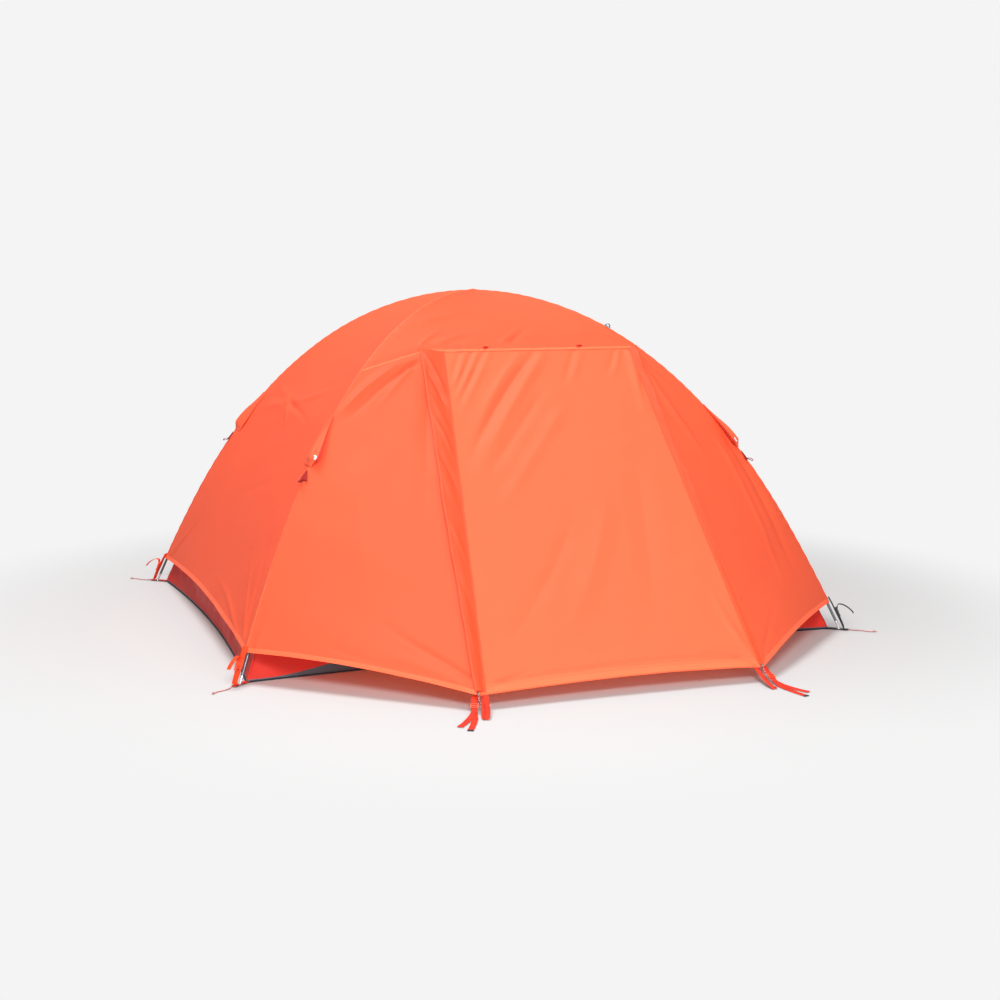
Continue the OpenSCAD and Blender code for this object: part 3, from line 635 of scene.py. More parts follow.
def metal(name, colour, roughness):
    """Drawn or plated metal with fine drawing lines and handling marks."""
    s = Surface(name)
    scuff = s.noise(70.0, 4.0)
    s.set(Base_Color=s.blend(scuff, shade(colour, 0.85), shade(colour, 1.1)), Metallic=1.0)
    s.set(Roughness=s.math("ADD", s.math("MULTIPLY", scuff, 0.2), roughness - 0.1))
    s.join(s.bump(s.noise(1400.0, 2.0), 0.00005, 0.4), s.shader.inputs["Normal"])
    return s.material


def rubber_cord(name):
    """Fabric-covered elastic."""
    s = Surface(name)
    s.set(Base_Color=s.blend(s.noise(500.0, 2.0), (0.01, 0.01, 0.012, 1), (0.05, 0.05, 0.055, 1)))
    s.set(Roughness=0.8)
    s.join(s.bump(s.noise(900.0, 2.0), 0.0002, 0.6), s.shader.inputs["Normal"])
    return s.material


CORAL = (0.90, 0.128, 0.050)
CORAL_GLOW = (1.0, 0.16, 0.07)
# The doors' coral is the fly's coral made lighter: painted light for the light that shines through the door
# cloth.
PAINTED_LIGHT_CORAL = (0.92, 0.165, 0.068)
# The storm flaps' coral is the fly's coral made darker and redder: painted shade for the light lost through the
# doubled cloth.
PAINTED_SHADE_CORAL = (0.90, 0.070, 0.022)
SLATE = (0.030, 0.042, 0.058)
CHARCOAL = (0.016, 0.018, 0.022)

FLY_CLOTH = cloth("fly_cloth", CORAL, CORAL_GLOW, 0.38)
# The door cloth takes the lighter coral, which is painted light.
DOOR_CLOTH = cloth("door_cloth", PAINTED_LIGHT_CORAL, CORAL_GLOW, 0.38)
# The flap cloth takes the darker coral, which is painted shade.
FLAP_CLOTH = cloth("flap_cloth", PAINTED_SHADE_CORAL, CORAL_GLOW, 0.12)
HOOD_CLOTH = cloth("hood_cloth", CORAL, CORAL_GLOW, 0.30)
SEAM_CLOTH = stitched("seam_cloth", CORAL, (0.80, 0.080, 0.032), (0.25, 0.75), 0.007)
# The flaps' sewn edges share that darker coral, which is painted shade of the doubled cloth.
FLAP_SEWN = stitched("flap_sewn", (0.82, 0.070, 0.024), (0.60, 0.040, 0.015), (0.5,), 0.006)
# The dark red strip along each hood's slit is painted shadow under the hood's free edge.
PAINTED_SLIT_SHADOW = stitched("hood_slit_painted_shadow", (0.45, 0.020, 0.012), (0.30, 0.012, 0.008), (0.5,), 0.006)
SEWN_CLOTH = stitched("sewn_cloth", CORAL, (0.80, 0.07, 0.03), (0.16, 0.34), 0.020)
TUB_CLOTH = cloth("tub_cloth", (0.62, 0.026, 0.014), (1.0, 0.04, 0.01), 0.20, 0.50, 0.0, rip=0.005)
INNER_CLOTH = cloth("inner_cloth", (0.88, 0.36, 0.20), (1.0, 0.45, 0.25), 0.35, 0.6, 0.2, rip=0.005)
MESH_CLOTH = cloth("mesh_cloth", (0.60, 0.20, 0.12), (0.9, 0.35, 0.2), 0.35, 0.7, 0.2, 0.0016)
FLOOR_CLOTH = cloth("floor_cloth", SLATE, SLATE, 0.0, 0.38, 0.05, rip=0.006, specular=0.5)
ORANGE_WEB = webbing("orange_web", (0.88, 0.065, 0.012), (0.66, 0.035, 0.008))
RED_WEB = webbing("red_web", (0.78, 0.045, 0.018), (0.42, 0.016, 0.010))
MAROON_WEB = webbing("maroon_web", (0.36, 0.018, 0.014), (0.20, 0.010, 0.008))
DARK_WEB = webbing("dark_web", SLATE, CHARCOAL)
RED_BRAID = braid("red_braid", (0.42, 0.035, 0.030), (0.75, 0.70, 0.68))
ORANGE_PLASTIC = plastic("orange_moulding", (0.80, 0.065, 0.020))
RED_PLASTIC = plastic("red_moulding", (0.42, 0.018, 0.012))
DARK_PLASTIC = plastic("dark_moulding", CHARCOAL)
WHITE_PLASTIC = plastic("white_moulding", (0.62, 0.63, 0.64))
ZIP_TEETH = plastic("zip_teeth", (0.55, 0.030, 0.015), 0.35)
ALUMINIUM = metal("anodised_tube", (0.14, 0.15, 0.17), 0.34)
FERRULE_METAL = metal("bare_ferrule", (0.70, 0.71, 0.72), 0.28)
STEEL = metal("plated_steel", (0.62, 0.62, 0.60), 0.25)
ELASTIC = rubber_cord("elastic")

# ---- Camera, light and floor ----

FOCAL_SHARE = 1.5427
CAMERA_AZIMUTH = math.radians(-20.35)
CAMERA_ELEVATION = math.radians(8.51)
CAMERA_REACH = 6.05
CAMERA_AIM = Vector((0, 0, 0.5))
CAMERA_SLIDE = (0.104, -0.084)


def make_camera():
    data = bpy.data.cameras.new("camera")
    data.sensor_width = 36
    data.lens = 36 * FOCAL_SHARE
    camera = bpy.data.objects.new("camera", data)
    bpy.context.scene.collection.objects.link(camera)
    az, el = CAMERA_AZIMUTH, CAMERA_ELEVATION
    back = Vector((math.sin(az) * math.cos(el), -math.cos(az) * math.cos(el), math.sin(el)))
    right = Vector((math.cos(az), math.sin(az), 0))
    up = back.cross(right)
    camera.location = CAMERA_AIM + back * CAMERA_REACH + right * CAMERA_SLIDE[0] + up * CAMERA_SLIDE[1]
    camera.rotation_mode = "QUATERNION"
    camera.rotation_quaternion = (-back).to_track_quat("-Z", "Y")
    bpy.context.scene.camera = camera


def soft_light(name, place, size, power, colour=(1, 1, 1)):
    data = bpy.data.lights.new(name, "AREA")
    data.shape = "DISK"
    data.size = size
    data.energy = power
    data.color = colour
    light = bpy.data.objects.new(name, data)
    light.location = place
    light.rotation_mode = "QUATERNION"
    light.rotation_quaternion = (Vector((0, 0, 0.4)) - Vector(place)).to_track_quat("-Z", "Y")
    bpy.context.scene.collection.objects.link(light)


def make_lights():
    world = bpy.data.worlds.new("studio")
    world.use_nodes = True
    world.node_tree.nodes["Background"].inputs["Color"].default_value = (1, 1, 1, 1)
    world.node_tree.nodes["Background"].inputs["Strength"].default_value = 0.50
    bpy.context.scene.world = world
    soft_light("key_light", (-1.7, -5.9, 3.6), 1.6, 295, (1.0, 0.99, 0.98))
    soft_light("low_light", (-0.2, -5.2, 0.75), 2.2, 95)
    soft_light("top_light", (-1.4, 0.2, 6.0), 3.0, 390)


BACKDROP_LEVEL = 0.905


def make_backdrop():
    """The studio's white, seen by the camera alone, so that it doesn't flatten the light."""
    mesh = bpy.data.meshes.new("studio_backdrop")
    bm = bmesh.new()
    bmesh.ops.create_uvsphere(bm, u_segments=48, v_segments=24, radius=58)
    bm.to_mesh(mesh)
    bm.free()
    dome = bpy.data.objects.new("studio_backdrop", mesh)
    for kind in ("diffuse", "glossy", "transmission", "volume_scatter", "shadow"):
        setattr(dome, "visible_" + kind, False)
    bpy.context.scene.collection.objects.link(dome)
    s = Surface("studio_backdrop")
    white = s.node("ShaderNodeEmission")
    white.inputs["Strength"].default_value = BACKDROP_LEVEL
    s.join(white.outputs[0], s.output.inputs[0])
    mesh.materials.append(s.material)


def make_floor():
    """A pale floor that fades into the studio's white some way out."""
    mesh = bpy.data.meshes.new("studio_floor")
    bm = bmesh.new()
    bmesh.ops.create_circle(bm, cap_ends=True, segments=96, radius=60)
    bm.to_mesh(mesh)
    bm.free()
    floor = bpy.data.objects.new("studio_floor", mesh)
    floor.location.z = -0.0006
    bpy.context.scene.collection.objects.link(floor)
    s = Surface("studio_floor")
    s.set(Base_Color=(0.46, 0.46, 0.46, 1.0), Roughness=0.75, Specular_IOR_Level=0.1)
    white = s.node("ShaderNodeEmission")
    white.inputs["Strength"].default_value = BACKDROP_LEVEL
    reach = s.node("ShaderNodeVectorMath", operation="LENGTH")
    s.join(s.place(), reach.inputs[0])
    ramp = s.node("ShaderNodeMapRange", interpolation_type="SMOOTHSTEP")
    ramp.inputs["From Min"].default_value = 1.35
    ramp.inputs["From Max"].default_value = 2.5
    s.join(reach.outputs["Value"], ramp.inputs["Value"])
    mix = s.node("ShaderNodeMixShader")
    s.join(ramp.outputs[0], mix.inputs[0])
    s.join(s.shader.outputs[0], mix.inputs[1])
    s.join(white.outputs[0], mix.inputs[2])
    s.join(mix.outputs[0], s.output.inputs[0])
    mesh.materials.append(s.material)


make_camera()
make_lights()
make_backdrop()
make_floor()
bpy.context.scene.view_settings.view_transform = "Standard"

# ---- Stake cords and their knots ----


def make_stake_cord(name, corner):
    """A short limp cord lying on the ground beyond a floor tab."""
    base = at(foot_frame(corner), TAB_FRONT, 0, 0)
    route = moved(base, CORD_ROUTE)
    path = smooth_path(route, 40)
    shape = Shape()
    shape.tube(path, CORD_D / 2, 10)
    length = float(np.linalg.norm(np.diff(path, axis=0), axis=1).sum())
    obj = shape.piece("cord_" + name, "tent", [RED_BRAID], "red_cord", ["stake_cord_" + name])
    return obj, path, length, base


def make_knot(name, base):
    """An overhand knot at a cord's end, with a fused stub."""
    shape = Shape()
    middle = CORD_ROUTE[-1][0] + KNOT_R
    loop = [
        (middle + 0.0018 * math.sin(2 * t), 0.0019 * math.cos(3 * t), KNOT_R + 0.0019 * math.sin(3 * t))
        for t in np.linspace(0, 2 * math.pi, 40)
    ]
    shape.tube(moved(base, loop), 0.0015, 8)
    stub = [(middle + 0.002 + x, 0.0012 * x / 0.007, 0.0032 - x * 0.1) for x in np.linspace(0, 0.008, 6)]
    shape.tube(moved(base, stub), [0.0015, 0.0015, 0.0015, 0.0016, 0.0017, 0.0011], 8)
    return shape.piece("knot_" + name, "tent", [RED_BRAID], "red_cord", ["cord_knots"])


def make_cords():
    for name, corner in CORNERS.items():
        cord, path, length, base = make_stake_cord(name, corner)
        knot = make_knot(name, base)


make_cords()

# ---- The fly: one continuous sheet over the poles, down to both vestibules' zips ----

ROOF_ROWS = np.linspace(0, CREASE_D, 90)
BROW_ROWS = np.linspace(CREASE_D, VENT_D, 48)[1:]
WALL_ROWS = np.linspace(VENT_D, HEM_D, 112)[1:]
WING_COLS = 100
DOOR_COLS = 120
END_COLS = 190
END_HEM_LIFT = 0.034
GORE_PULL = 0.35


def tautened(grid, pull, shares):
    """Draws the middle of each column towards the straight line between its ends."""
    f = np.linspace(0, 1, len(grid))[:, None, None]
    straight = grid[:1] * (1 - f) + grid[-1:] * f
    weight = pull * bulge(shares) ** 1.4
    return grid + (straight - grid) * weight[None, :, None]


def chords(left, right, shares):
    s = np.asarray(shares)[None, :, None]
    return left[:, None] * (1 - s) + right[:, None] * s


def crease_shares():
    """Columns of the front gore: those of the left wing, the door and the right wing."""
    half = CREASE[0]
    left = np.linspace(-half, DOOR_TOP[-1], WING_COLS + 1)
    door = np.linspace(DOOR_TOP[-1], DOOR_TOP[1], DOOR_COLS + 1)
    right = np.linspace(DOOR_TOP[1], half, WING_COLS + 1)
    x = np.concatenate([left, door[1:], right[1:]])
    return (x + half) / (2 * half)


def front_gore():
    shares = crease_shares()
    ridges = [ridge_line((side, -1), ROOF_ROWS) for side in (-1, 1)]
    grid = tautened(chords(*ridges, shares), GORE_PULL, shares)
    # The last row bows out to the door's hinge line
    x = (shares - 0.5) * 2 * CREASE[0]
    ramps = [(x + CREASE[0]) / (DOOR_TOP[-1] + CREASE[0]), (CREASE[0] - x) / (CREASE[0] - DOOR_TOP[1])]
    bow = np.clip(np.minimum(*ramps), 0, 1) * 0.006
    grid[:, :, 1] -= bow[None, :] * eased(0.7, 1.0, np.linspace(0, 1, len(grid)))[:, None]
    return grid


def left_side():
    """The left gore, and the end panel below the brow that joins the two vents."""
    shares = np.linspace(0, 1, END_COLS + 1)
    brow = np.concatenate([ROOF_ROWS, BROW_ROWS])
    gore = tautened(chords(ridge_line((-1, 1), brow), ridge_line((-1, -1), brow), shares), GORE_PULL, shares)
    rows = np.concatenate([[VENT_D], WALL_ROWS])
    lift = END_HEM_LIFT * bulge(shares)
    panel = np.zeros((len(rows), len(shares), 3))
    for c, s in enumerate(shares):
        for r, d in enumerate(rows):
            down = VENT_D + (d - VENT_D) * (HEM_D - lift[c] - VENT_D) / (HEM_D - VENT_D)
            panel[r, c] = ridge(-1, 1, down) * (1 - s) + ridge(-1, -1, down) * s
    panel = tautened(panel, 0.6, shares)
    return np.concatenate([gore, panel[1:]])


def wing(side):
    """Vestibule side, ruled between a pole ridge and a zip line."""
    rows = np.concatenate([[CREASE_D], BROW_ROWS, WALL_ROWS])
    share = (rows - CREASE_D) / (HEM_D - CREASE_D)
    pole = ridge_line((side, -1), rows)
    clear = side * (ZIP_GAP - 0.002)
    edge = moved(DOOR_FRAME, [(zip_x(side, f) + clear * min(1, f * 30), -f * DOOR_L, 0) for f in share])
    shares = np.linspace(0, 1, WING_COLS + 1)
    sags = bulge(shares)
    grid = chords(pole, edge, shares) if side < 0 else chords(edge, pole, shares)
    grid[:, :, 2] -= 0.004 * sags[None, :] * bulge(share)[:, None]
    hem_rise = 0.018 * sags[None, :] * eased(0.75, 1.0, share)[:, None]
    grid[:, :, 2] += hem_rise
    return grid


def fold(line, width, depth, start=0.05, end=1.0):
    """A crease in the cloth: its line, half width and height, and the shares where it rises and fades."""
    return {"line": np.asarray(line, float), "width": width, "depth": depth, "start": start, "end": end}


def fold_heights(points, folds):
    total = np.zeros(len(points))
    for f in folds:
        gap, share = along_line(points, f["line"], f["width"])
        g = np.minimum(gap / f["width"], 1.0)
        taper = eased(0, f["start"], share + 1e-6) * (1 - eased(1 - f["end"], 1.0, share))
        total += f["depth"] * (1 - g) ** 1.4 * taper
    return total


def wing_spot(side, across, down):
    """A point of a front wing: across from ridge to zip, and down from crease to hem, as shares."""
    d = CREASE_D + (HEM_D - CREASE_D) * down
    pole = ridge(side, -1, d)
    edge = moved(DOOR_FRAME, [(zip_x(side, down), -down * DOOR_L, 0)])[0]
    return pole * (1 - across) + edge * across


def side_spot(across, d):
    """A point of the left side: across from the rear ridge to the front one, d along the ridges."""
    return ridge(-1, 1, d) * (1 - across) + ridge(-1, -1, d) * across


def roof_spot(across, d):
    """A point of the front gore, across from the left ridge to the right one."""
    return ridge(-1, -1, d) * (1 - across) + ridge(1, -1, d) * across


def traced(spot, *places):
    """A fold's line through places on a surface, in shares of that surface."""
    return np.array([spot(*p) for p in smooth_path([(*p, 0.0) for p in places], 9)[:, :2]])


def left_wing_spot(across, down):
    return wing_spot(-1, across, down)


def right_wing_spot(across, down):
    return wing_spot(1, across, down)


def canopy_folds():
    """Tension folds of the front half, the left end and the roof."""
    wing_places = {
        -1: [
            # Facet beside the ridge, from the door's corner down to the vent, and the valley below it
            (((0.8, 0.02), (0.5, 0.055), (0.27, 0.115), (0.13, 0.185), (0.03, 0.275)), 0.03, 0.013, 0.12, 0.15),
            (((0.84, 0.035), (0.62, 0.07), (0.4, 0.13), (0.24, 0.205), (0.12, 0.29)), 0.013, -0.006, 0.12, 0.35),
            (((0.8, 0.03), (0.55, 0.07), (0.33, 0.13)), 0.014, 0.004, 0.1, 0.6),
            (((0.7, 0.06), (0.5, 0.14), (0.34, 0.24)), 0.016, 0.004, 0.1, 0.6),
            # Soft folds down the middle
            (((0.94, 0.05), (0.86, 0.3), (0.8, 0.62)), 0.05, -0.007, 0.2, 0.6),
            (((0.3, 0.34), (0.42, 0.6), (0.55, 0.88)), 0.11, 0.008, 0.3, 0.5),
            # Folds that gather at the hem's corners
            (((0.99, 0.97), (0.92, 0.947), (0.81, 0.918), (0.68, 0.885), (0.54, 0.84)), 0.018, -0.01, 0.03, 0.6),
            (((0.97, 0.985), (0.86, 0.965), (0.7, 0.945), (0.56, 0.93)), 0.03, 0.006, 0.05, 0.5),
            (((0.7, 0.978), (0.55, 0.966), (0.39, 0.95), (0.27, 0.935)), 0.016, -0.008, 0.2, 0.5),
            (((0.02, 0.99), (0.024, 0.94), (0.032, 0.89), (0.045, 0.84)), 0.01, -0.004, 0.05, 0.7),
            (((0.04, 0.99), (0.06, 0.93), (0.085, 0.86)), 0.016, 0.004, 0.05, 0.7),
        ],
        1: [
            (((0.95, 0.02), (0.7, 0.2), (0.5, 0.5)), 0.03, 0.007, 0.1, 0.6),
            (((0.85, 0.04), (0.5, 0.12), (0.2, 0.2)), 0.022, 0.005, 0.1, 0.6),
            (((0.05, 0.36), (0.12, 0.6), (0.25, 0.92)), 0.04, -0.007, 0.1, 0.6),
            (((0.2, 0.35), (0.3, 0.62), (0.45, 0.95)), 0.03, 0.005, 0.2, 0.6),
            (((0.97, 0.98), (0.8, 0.93), (0.6, 0.88)), 0.018, -0.005, 0.05, 0.6),
        ],
    }
    side_places = [
        # Creases that meet in the middle of the brow
        (((0.4, 1.02), (0.47, 1.033), (0.62, 1.052), (0.8, 1.085)), 0.022, -0.008, 0.05, 0.6),
        (((0.39, 1.03), (0.46, 1.075), (0.56, 1.15)), 0.024, 0.007, 0.05, 0.6),
        (((0.38, 1.03), (0.39, 1.11), (0.41, 1.23)), 0.034, -0.005, 0.05, 0.7),
        (((0.37, 1.02), (0.24, 1.06), (0.08, 1.1)), 0.04, 0.006, 0.05, 0.6),
        (((0.39, 1.01), (0.52, 0.995), (0.7, 0.935), (0.91, 0.857)), 0.035, 0.009, 0.05, 0.6),
        (((0.36, 1.005), (0.22, 0.985), (0.06, 0.96)), 0.03, 0.007, 0.05, 0.6),
        (((0.36, 1.48), (0.47, 1.434), (0.58, 1.389), (0.78, 1.31)), 0.022, -0.005, 0.2, 0.4),
        # Folds that run up from the panel's lower corners
        (((0.97, 1.87), (0.84, 1.67), (0.76, 1.47)), 0.02, 0.005, 0.05, 0.8),
        (((0.97, 1.87), (0.92, 1.63), (0.88, 1.4)), 0.024, -0.006, 0.05, 0.8),
        (((0.93, 1.88), (0.72, 1.79), (0.5, 1.77)), 0.018, 0.005, 0.05, 0.7),
        (((0.03, 1.87), (0.14, 1.67), (0.2, 1.45)), 0.024, 0.006, 0.05, 0.8),
    ]
    roof_places = [
        (((0.67, 0.49), (0.57, 0.582), (0.5, 0.66)), 0.013, -0.009, 0.15, 0.2),
        (((0.64, 0.48), (0.54, 0.575), (0.46, 0.66)), 0.014, 0.007, 0.15, 0.2),
        (((0.2, 0.67), (0.3, 0.6), (0.42, 0.58)), 0.02, 0.005, 0.2, 0.5),
        (((0.15, 0.67), (0.18, 0.6), (0.24, 0.52)), 0.014, 0.004, 0.1, 0.6),
        (((0.96, 0.67), (0.86, 0.6), (0.7, 0.56)), 0.02, 0.005, 0.2, 0.5),
        (((0.06, 0.5), (0.22, 0.42), (0.4, 0.4)), 0.035, 0.005, 0.2, 0.6),
    ]
    spots = [(left_wing_spot, wing_places[-1]), (right_wing_spot, wing_places[1])]
    spots += [(side_spot, side_places), (roof_spot, roof_places)]
    return [fold(traced(spot, *line), *shape) for spot, places in spots for line, *shape in places]


RIDGES = [ridge_line(corner, np.linspace(0.0, HEM_D, 30)) for corner in CORNERS.values()]


def crease_lines():
    """The seams over both door tops; beyond the door's left corner they drop to the pole."""
    left = [left_wing_spot(*place) for place in ((0.01, 0.090), (0.30, 0.049), (0.62, 0.020))]
    line = np.vstack([left, moved(DOOR_FRAME, [(x, 0, 0) for x in np.linspace(DOOR_TOP[-1], CREASE[0], 20)])])
    return [line, moved(HALF_TURN, line)]


def canopy_height(points):
    """How far the fly's cloth stands off its stretched shape. It stays outside the poles."""
    folds = canopy_folds()
    total = fold_heights(points, folds) + 0.85 * fold_heights(points * (-1, -1, 1), folds)
    total += 0.0024 * waves(points, 0.75, 11) + 0.0008 * waves(points, 0.17, 12)
    for line in RIDGES:
        gap, _ = along_line(points, line, 0.022)
        total *= eased(0.0, 0.022, gap)
    for line in crease_lines():
        gap, _ = along_line(points, line, 0.030)
        total *= eased(0.0, 0.030, gap)
    for line in RIDGES + crease_lines():
        gap, share = along_line(points, line, 0.060)
        length = np.linalg.norm(np.diff(line, axis=0), axis=1).sum()
        puckers = 1 + np.sin(share * length * 2 * math.pi / 0.050 + 3 * waves(points, 0.4, 13))
        total += 0.0007 * np.exp(-gap / 0.016) * puckers
    return total


def make_canopy():
    shape = Shape()
    half = [front_gore(), left_side(), wing(-1), wing(1)]
    for grid in half:
        shape.grid(grid)
        shape.grid(grid * (-1, -1, 1))
    names = ["fly_roof", "fly_end_left", "fly_end_right"]
    names += ["fly_wing_" + corner for corner in CORNERS]
    canopy = shape.piece("fly_canopy", "tent", [FLY_CLOTH], "fly_fabric", names, weld=0.00002)
    push_out(canopy, canopy_height)
    return canopy


canopy = make_canopy()
canopy_tree = surface_tree(canopy)


def hem_lines():
    """The fly's free edges that stay on the tent, for the front half and the left end."""
    lines = []
    for grid in (left_side(), wing(-1), wing(1)):
        line = grid[-1]
        lines += [line, line * (-1, -1, 1)]
    return lines


def make_seams():
    """Flat-felled seams over the poles and door tops, and the turned hems."""
    seams = Shape()
    fine = [ridge_line(corner, np.linspace(0.0, HEM_D, 240)) for corner in CORNERS.values()]
    for line in fine:
        sewn_band(seams, canopy_tree, line, 0.007, 0.0005)
    for line in crease_lines():
        sewn_band(seams, canopy_tree, smooth_path(line, 200), 0.007, 0.0009)
    across = axis(DOOR_FRAME, 1)
    xs = np.linspace(DOOR_TOP[-1], DOOR_TOP[1], 100)
    cover = moved(DOOR_FRAME, [(x, -0.003, 0.0014 + 0.0003 * math.sin(x * 60)) for x in xs])
    for turn in (Matrix.Identity(4), HALF_TURN):
        seams.ribbon(moved(turn, cover), directed(turn, across), 0.011, 0.0008)
    seams.piece("fly_seams", "tent", [SEAM_CLOTH], "fly_fabric", crisp=50)
    hems = Shape()
    for line in hem_lines():
        sewn_band(hems, canopy_tree, line, 0.016, 0.0009, side=-0.9)
        sewn_band(hems, canopy_tree, line, 0.016, 0.0009, side=0.9)
    hems.piece("fly_hems", "tent", [SEWN_CLOTH], "fly_fabric", crisp=50)


make_seams()

# ---- Fly doors with their storm flaps ----

DOOR_ROWS = 230


def door_folds():
    """Tension folds of a door: lines (across, down) in its own plane, half width, height, taper."""
    places = [
        # Fan from the hinge seam down to the storm flap
        (((-0.2, 0.005), (-0.24, 0.09), (-0.274, 0.17)), 0.013, -0.005, 0.03, 0.6),
        (((-0.175, 0.005), (-0.225, 0.11), (-0.28, 0.21)), 0.016, 0.006, 0.03, 0.6),
        (((-0.149, 0.005), (-0.205, 0.096), (-0.286, 0.233)), 0.013, -0.006, 0.03, 0.6),
        (((-0.128, 0.005), (-0.2, 0.13), (-0.29, 0.27)), 0.016, 0.006, 0.03, 0.6),
        (((-0.105, 0.005), (-0.209, 0.166), (-0.293, 0.302)), 0.014, -0.006, 0.03, 0.6),
        (((-0.08, 0.005), (-0.19, 0.18), (-0.296, 0.35)), 0.022, 0.006, 0.03, 0.6),
        # The long folds across the door
        (((0.095, 0.005), (-0.051, 0.172), (-0.209, 0.385), (-0.309, 0.544)), 0.026, -0.012, 0.06, 0.45),
        (((0.135, 0.005), (-0.012, 0.19), (-0.17, 0.41), (-0.29, 0.58)), 0.036, 0.01, 0.06, 0.5),
        (((0.04, 0.005), (-0.09, 0.16), (-0.24, 0.37)), 0.026, 0.006, 0.06, 0.5),
        (((0.1, 0.16), (-0.106, 0.412), (-0.304, 0.651)), 0.03, -0.006, 0.25, 0.5),
        (((0.17, 0.22), (-0.04, 0.48), (-0.3, 0.8)), 0.04, 0.006, 0.25, 0.5),
        (((0.245, 0.005), (0.2, 0.09), (0.149, 0.179)), 0.018, -0.006, 0.05, 0.7),
        (((0.275, 0.005), (0.226, 0.1), (0.16, 0.22)), 0.024, 0.005, 0.05, 0.7),
        (((0.41, 0.005), (0.37, 0.08), (0.325, 0.14)), 0.015, -0.006, 0.05, 0.7),
        (((0.43, 0.005), (0.385, 0.1), (0.33, 0.18)), 0.018, 0.005, 0.05, 0.7),
        # Short creases below the right end of the hinge seam
        (((0.474, 0.006), (0.476, 0.06), (0.47, 0.15), (0.452, 0.238)), 0.01, -0.005, 0.05, 0.6),
        (((0.458, 0.008), (0.458, 0.1), (0.437, 0.285)), 0.013, 0.005, 0.05, 0.7),
        (((0.44, 0.006), (0.43, 0.04), (0.41, 0.08)), 0.01, -0.004, 0.05, 0.7),
        (((0.466, 0.01), (0.44, 0.2), (0.42, 0.42)), 0.03, 0.006, 0.05, 0.7),
        # Faint folds of the lower half, and the fold of the hem
        (((0.05, 0.72), (-0.14, 1.000), (-0.4, 1.3)), 0.045, -0.006, 0.3, 0.5),
        (((0.2, 0.6), (0.04, 0.95), (-0.2, 1.3)), 0.07, 0.008, 0.3, 0.5),
        (((0.33, 0.5), (0.25, 0.9), (0.15, 1.3)), 0.07, -0.006, 0.3, 0.5),
        (((-0.462, 1.38), (-0.44, 1.3), (-0.415, 1.23)), 0.012, 0.005, 0.05, 0.7),
        (((-0.45, 1.39), (-0.34, 1.35), (-0.2, 1.34)), 0.014, -0.005, 0.05, 0.7),
        (((0.47, 1.39), (0.38, 1.35), (0.24, 1.34)), 0.014, -0.005, 0.05, 0.7),
        (((0.472, 1.38), (0.43, 1.24), (0.41, 1.06)), 0.022, 0.006, 0.05, 0.7),
        (((-0.44, 1.366), (-0.1, 1.356), (0.25, 1.352), (0.45, 1.366)), 0.012, -0.006, 0.05, 0.05),
    ]
    made = []
    for line, *shape in places:
        path = smooth_path([(x, -down, 0.0) for x, down in line], 9)
        made.append(fold(path, *shape))
    return made


def door_height(points):
    """Height off the door's plane; the points are in that plane."""
    share = -points[:, 1] / DOOR_L
    left, right = zip_x(-1, share), zip_x(1, share)
    across = (points[:, 0] - left) / (right - left)
    slack = eased(0, 0.08, share) * eased(0, 0.10, across) * eased(0, 0.06, 1 - across)
    total = fold_heights(points, door_folds()) * np.maximum(slack, 0.6 * eased(0, 0.02, share))
    total += slack * (0.0024 * waves(points, 0.55, 21) + 0.0008 * waves(points, 0.12, 22))
    belly = -0.010 * np.clip(bulge(np.clip(across, 0, 1)), 0, 1) * np.clip(bulge(np.clip(share, 0, 1)), 0, 1)
    return total + belly


def door_sheet():
    """The door's cloth, with its hem folded back behind it."""
    rows = np.linspace(0.002, DOOR_L, DOOR_ROWS)
    grid = np.zeros((len(rows), DOOR_COLS + 1, 3))
    for r, down in enumerate(rows):
        share = down / DOOR_L
        left, right = zip_x(-1, share) + ZIP_GAP, zip_x(1, share) - ZIP_GAP
        grid[r, :, 0] = np.linspace(left, right, DOOR_COLS + 1)
        grid[r, :, 1] = -down
    flat = grid.reshape(-1, 3)
    flat[:, 2] = door_height(flat)
    hem_rise = 0.016 * bulge(np.linspace(0, 1, DOOR_COLS + 1))
    grid[:, :, 1] += hem_rise[None, :] * eased(0.85, 1.0, rows / DOOR_L)[:, None]
    folded = grid[[-1, -2, -3]].copy()
    folded[0, :, 1] -= 0.0012
    folded[:, :, 2] -= np.array([0.0008, 0.0022, 0.0022])[:, None]
    return np.concatenate([grid, folded])


FLAP_INNER = {-1: 0.050, 1: 0.016}
FLAP_OUTER = {-1: 0.036, 1: 0.010}


def flap_edges(side, share):
    """Where a flap is sewn to the door, and where its free edge lies over the wing."""
    sewn = zip_x(side, share) - side * FLAP_INNER[side] * (1 - 0.55 * share)
    free = zip_x(side, share) + side * FLAP_OUTER[side] * (1 - 0.70 * share**2)
    return sewn, free


def flap_grid(side, rows=260, cols=26):
    """A storm flap: sewn to the door along one edge, its slack free edge lying over the wing."""
    grid = np.zeros((rows, cols + 1, 3))
    f = np.linspace(0, 1, cols + 1)
    for r, down in enumerate(np.linspace(0.006, DOOR_L - 0.010, rows)):
        share = down / DOOR_L
        sewn, free = flap_edges(side, share)
        flutter = math.sin(down * 11.0) + 0.6 * math.sin(down * 29.0 + 1.0)
        grid[r, :, 0] = sewn * (1 - f) + free * f + side * 0.0018 * f**3 * flutter
        grid[r, :, 1] = -down
        grid[r, :, 2] = 0.0016 + 0.0100 * eased(0, 0.7, f) + f**3 * (0.003 + 0.002 * flutter)
    flat = grid.reshape(-1, 3)
    flat[:, 2] += fold_heights(flat * (1, 1, 0), flap_folds(side)) + 0.0010 * waves(flat, 0.10, 31)
    return grid[:, ::-1] if side < 0 else grid


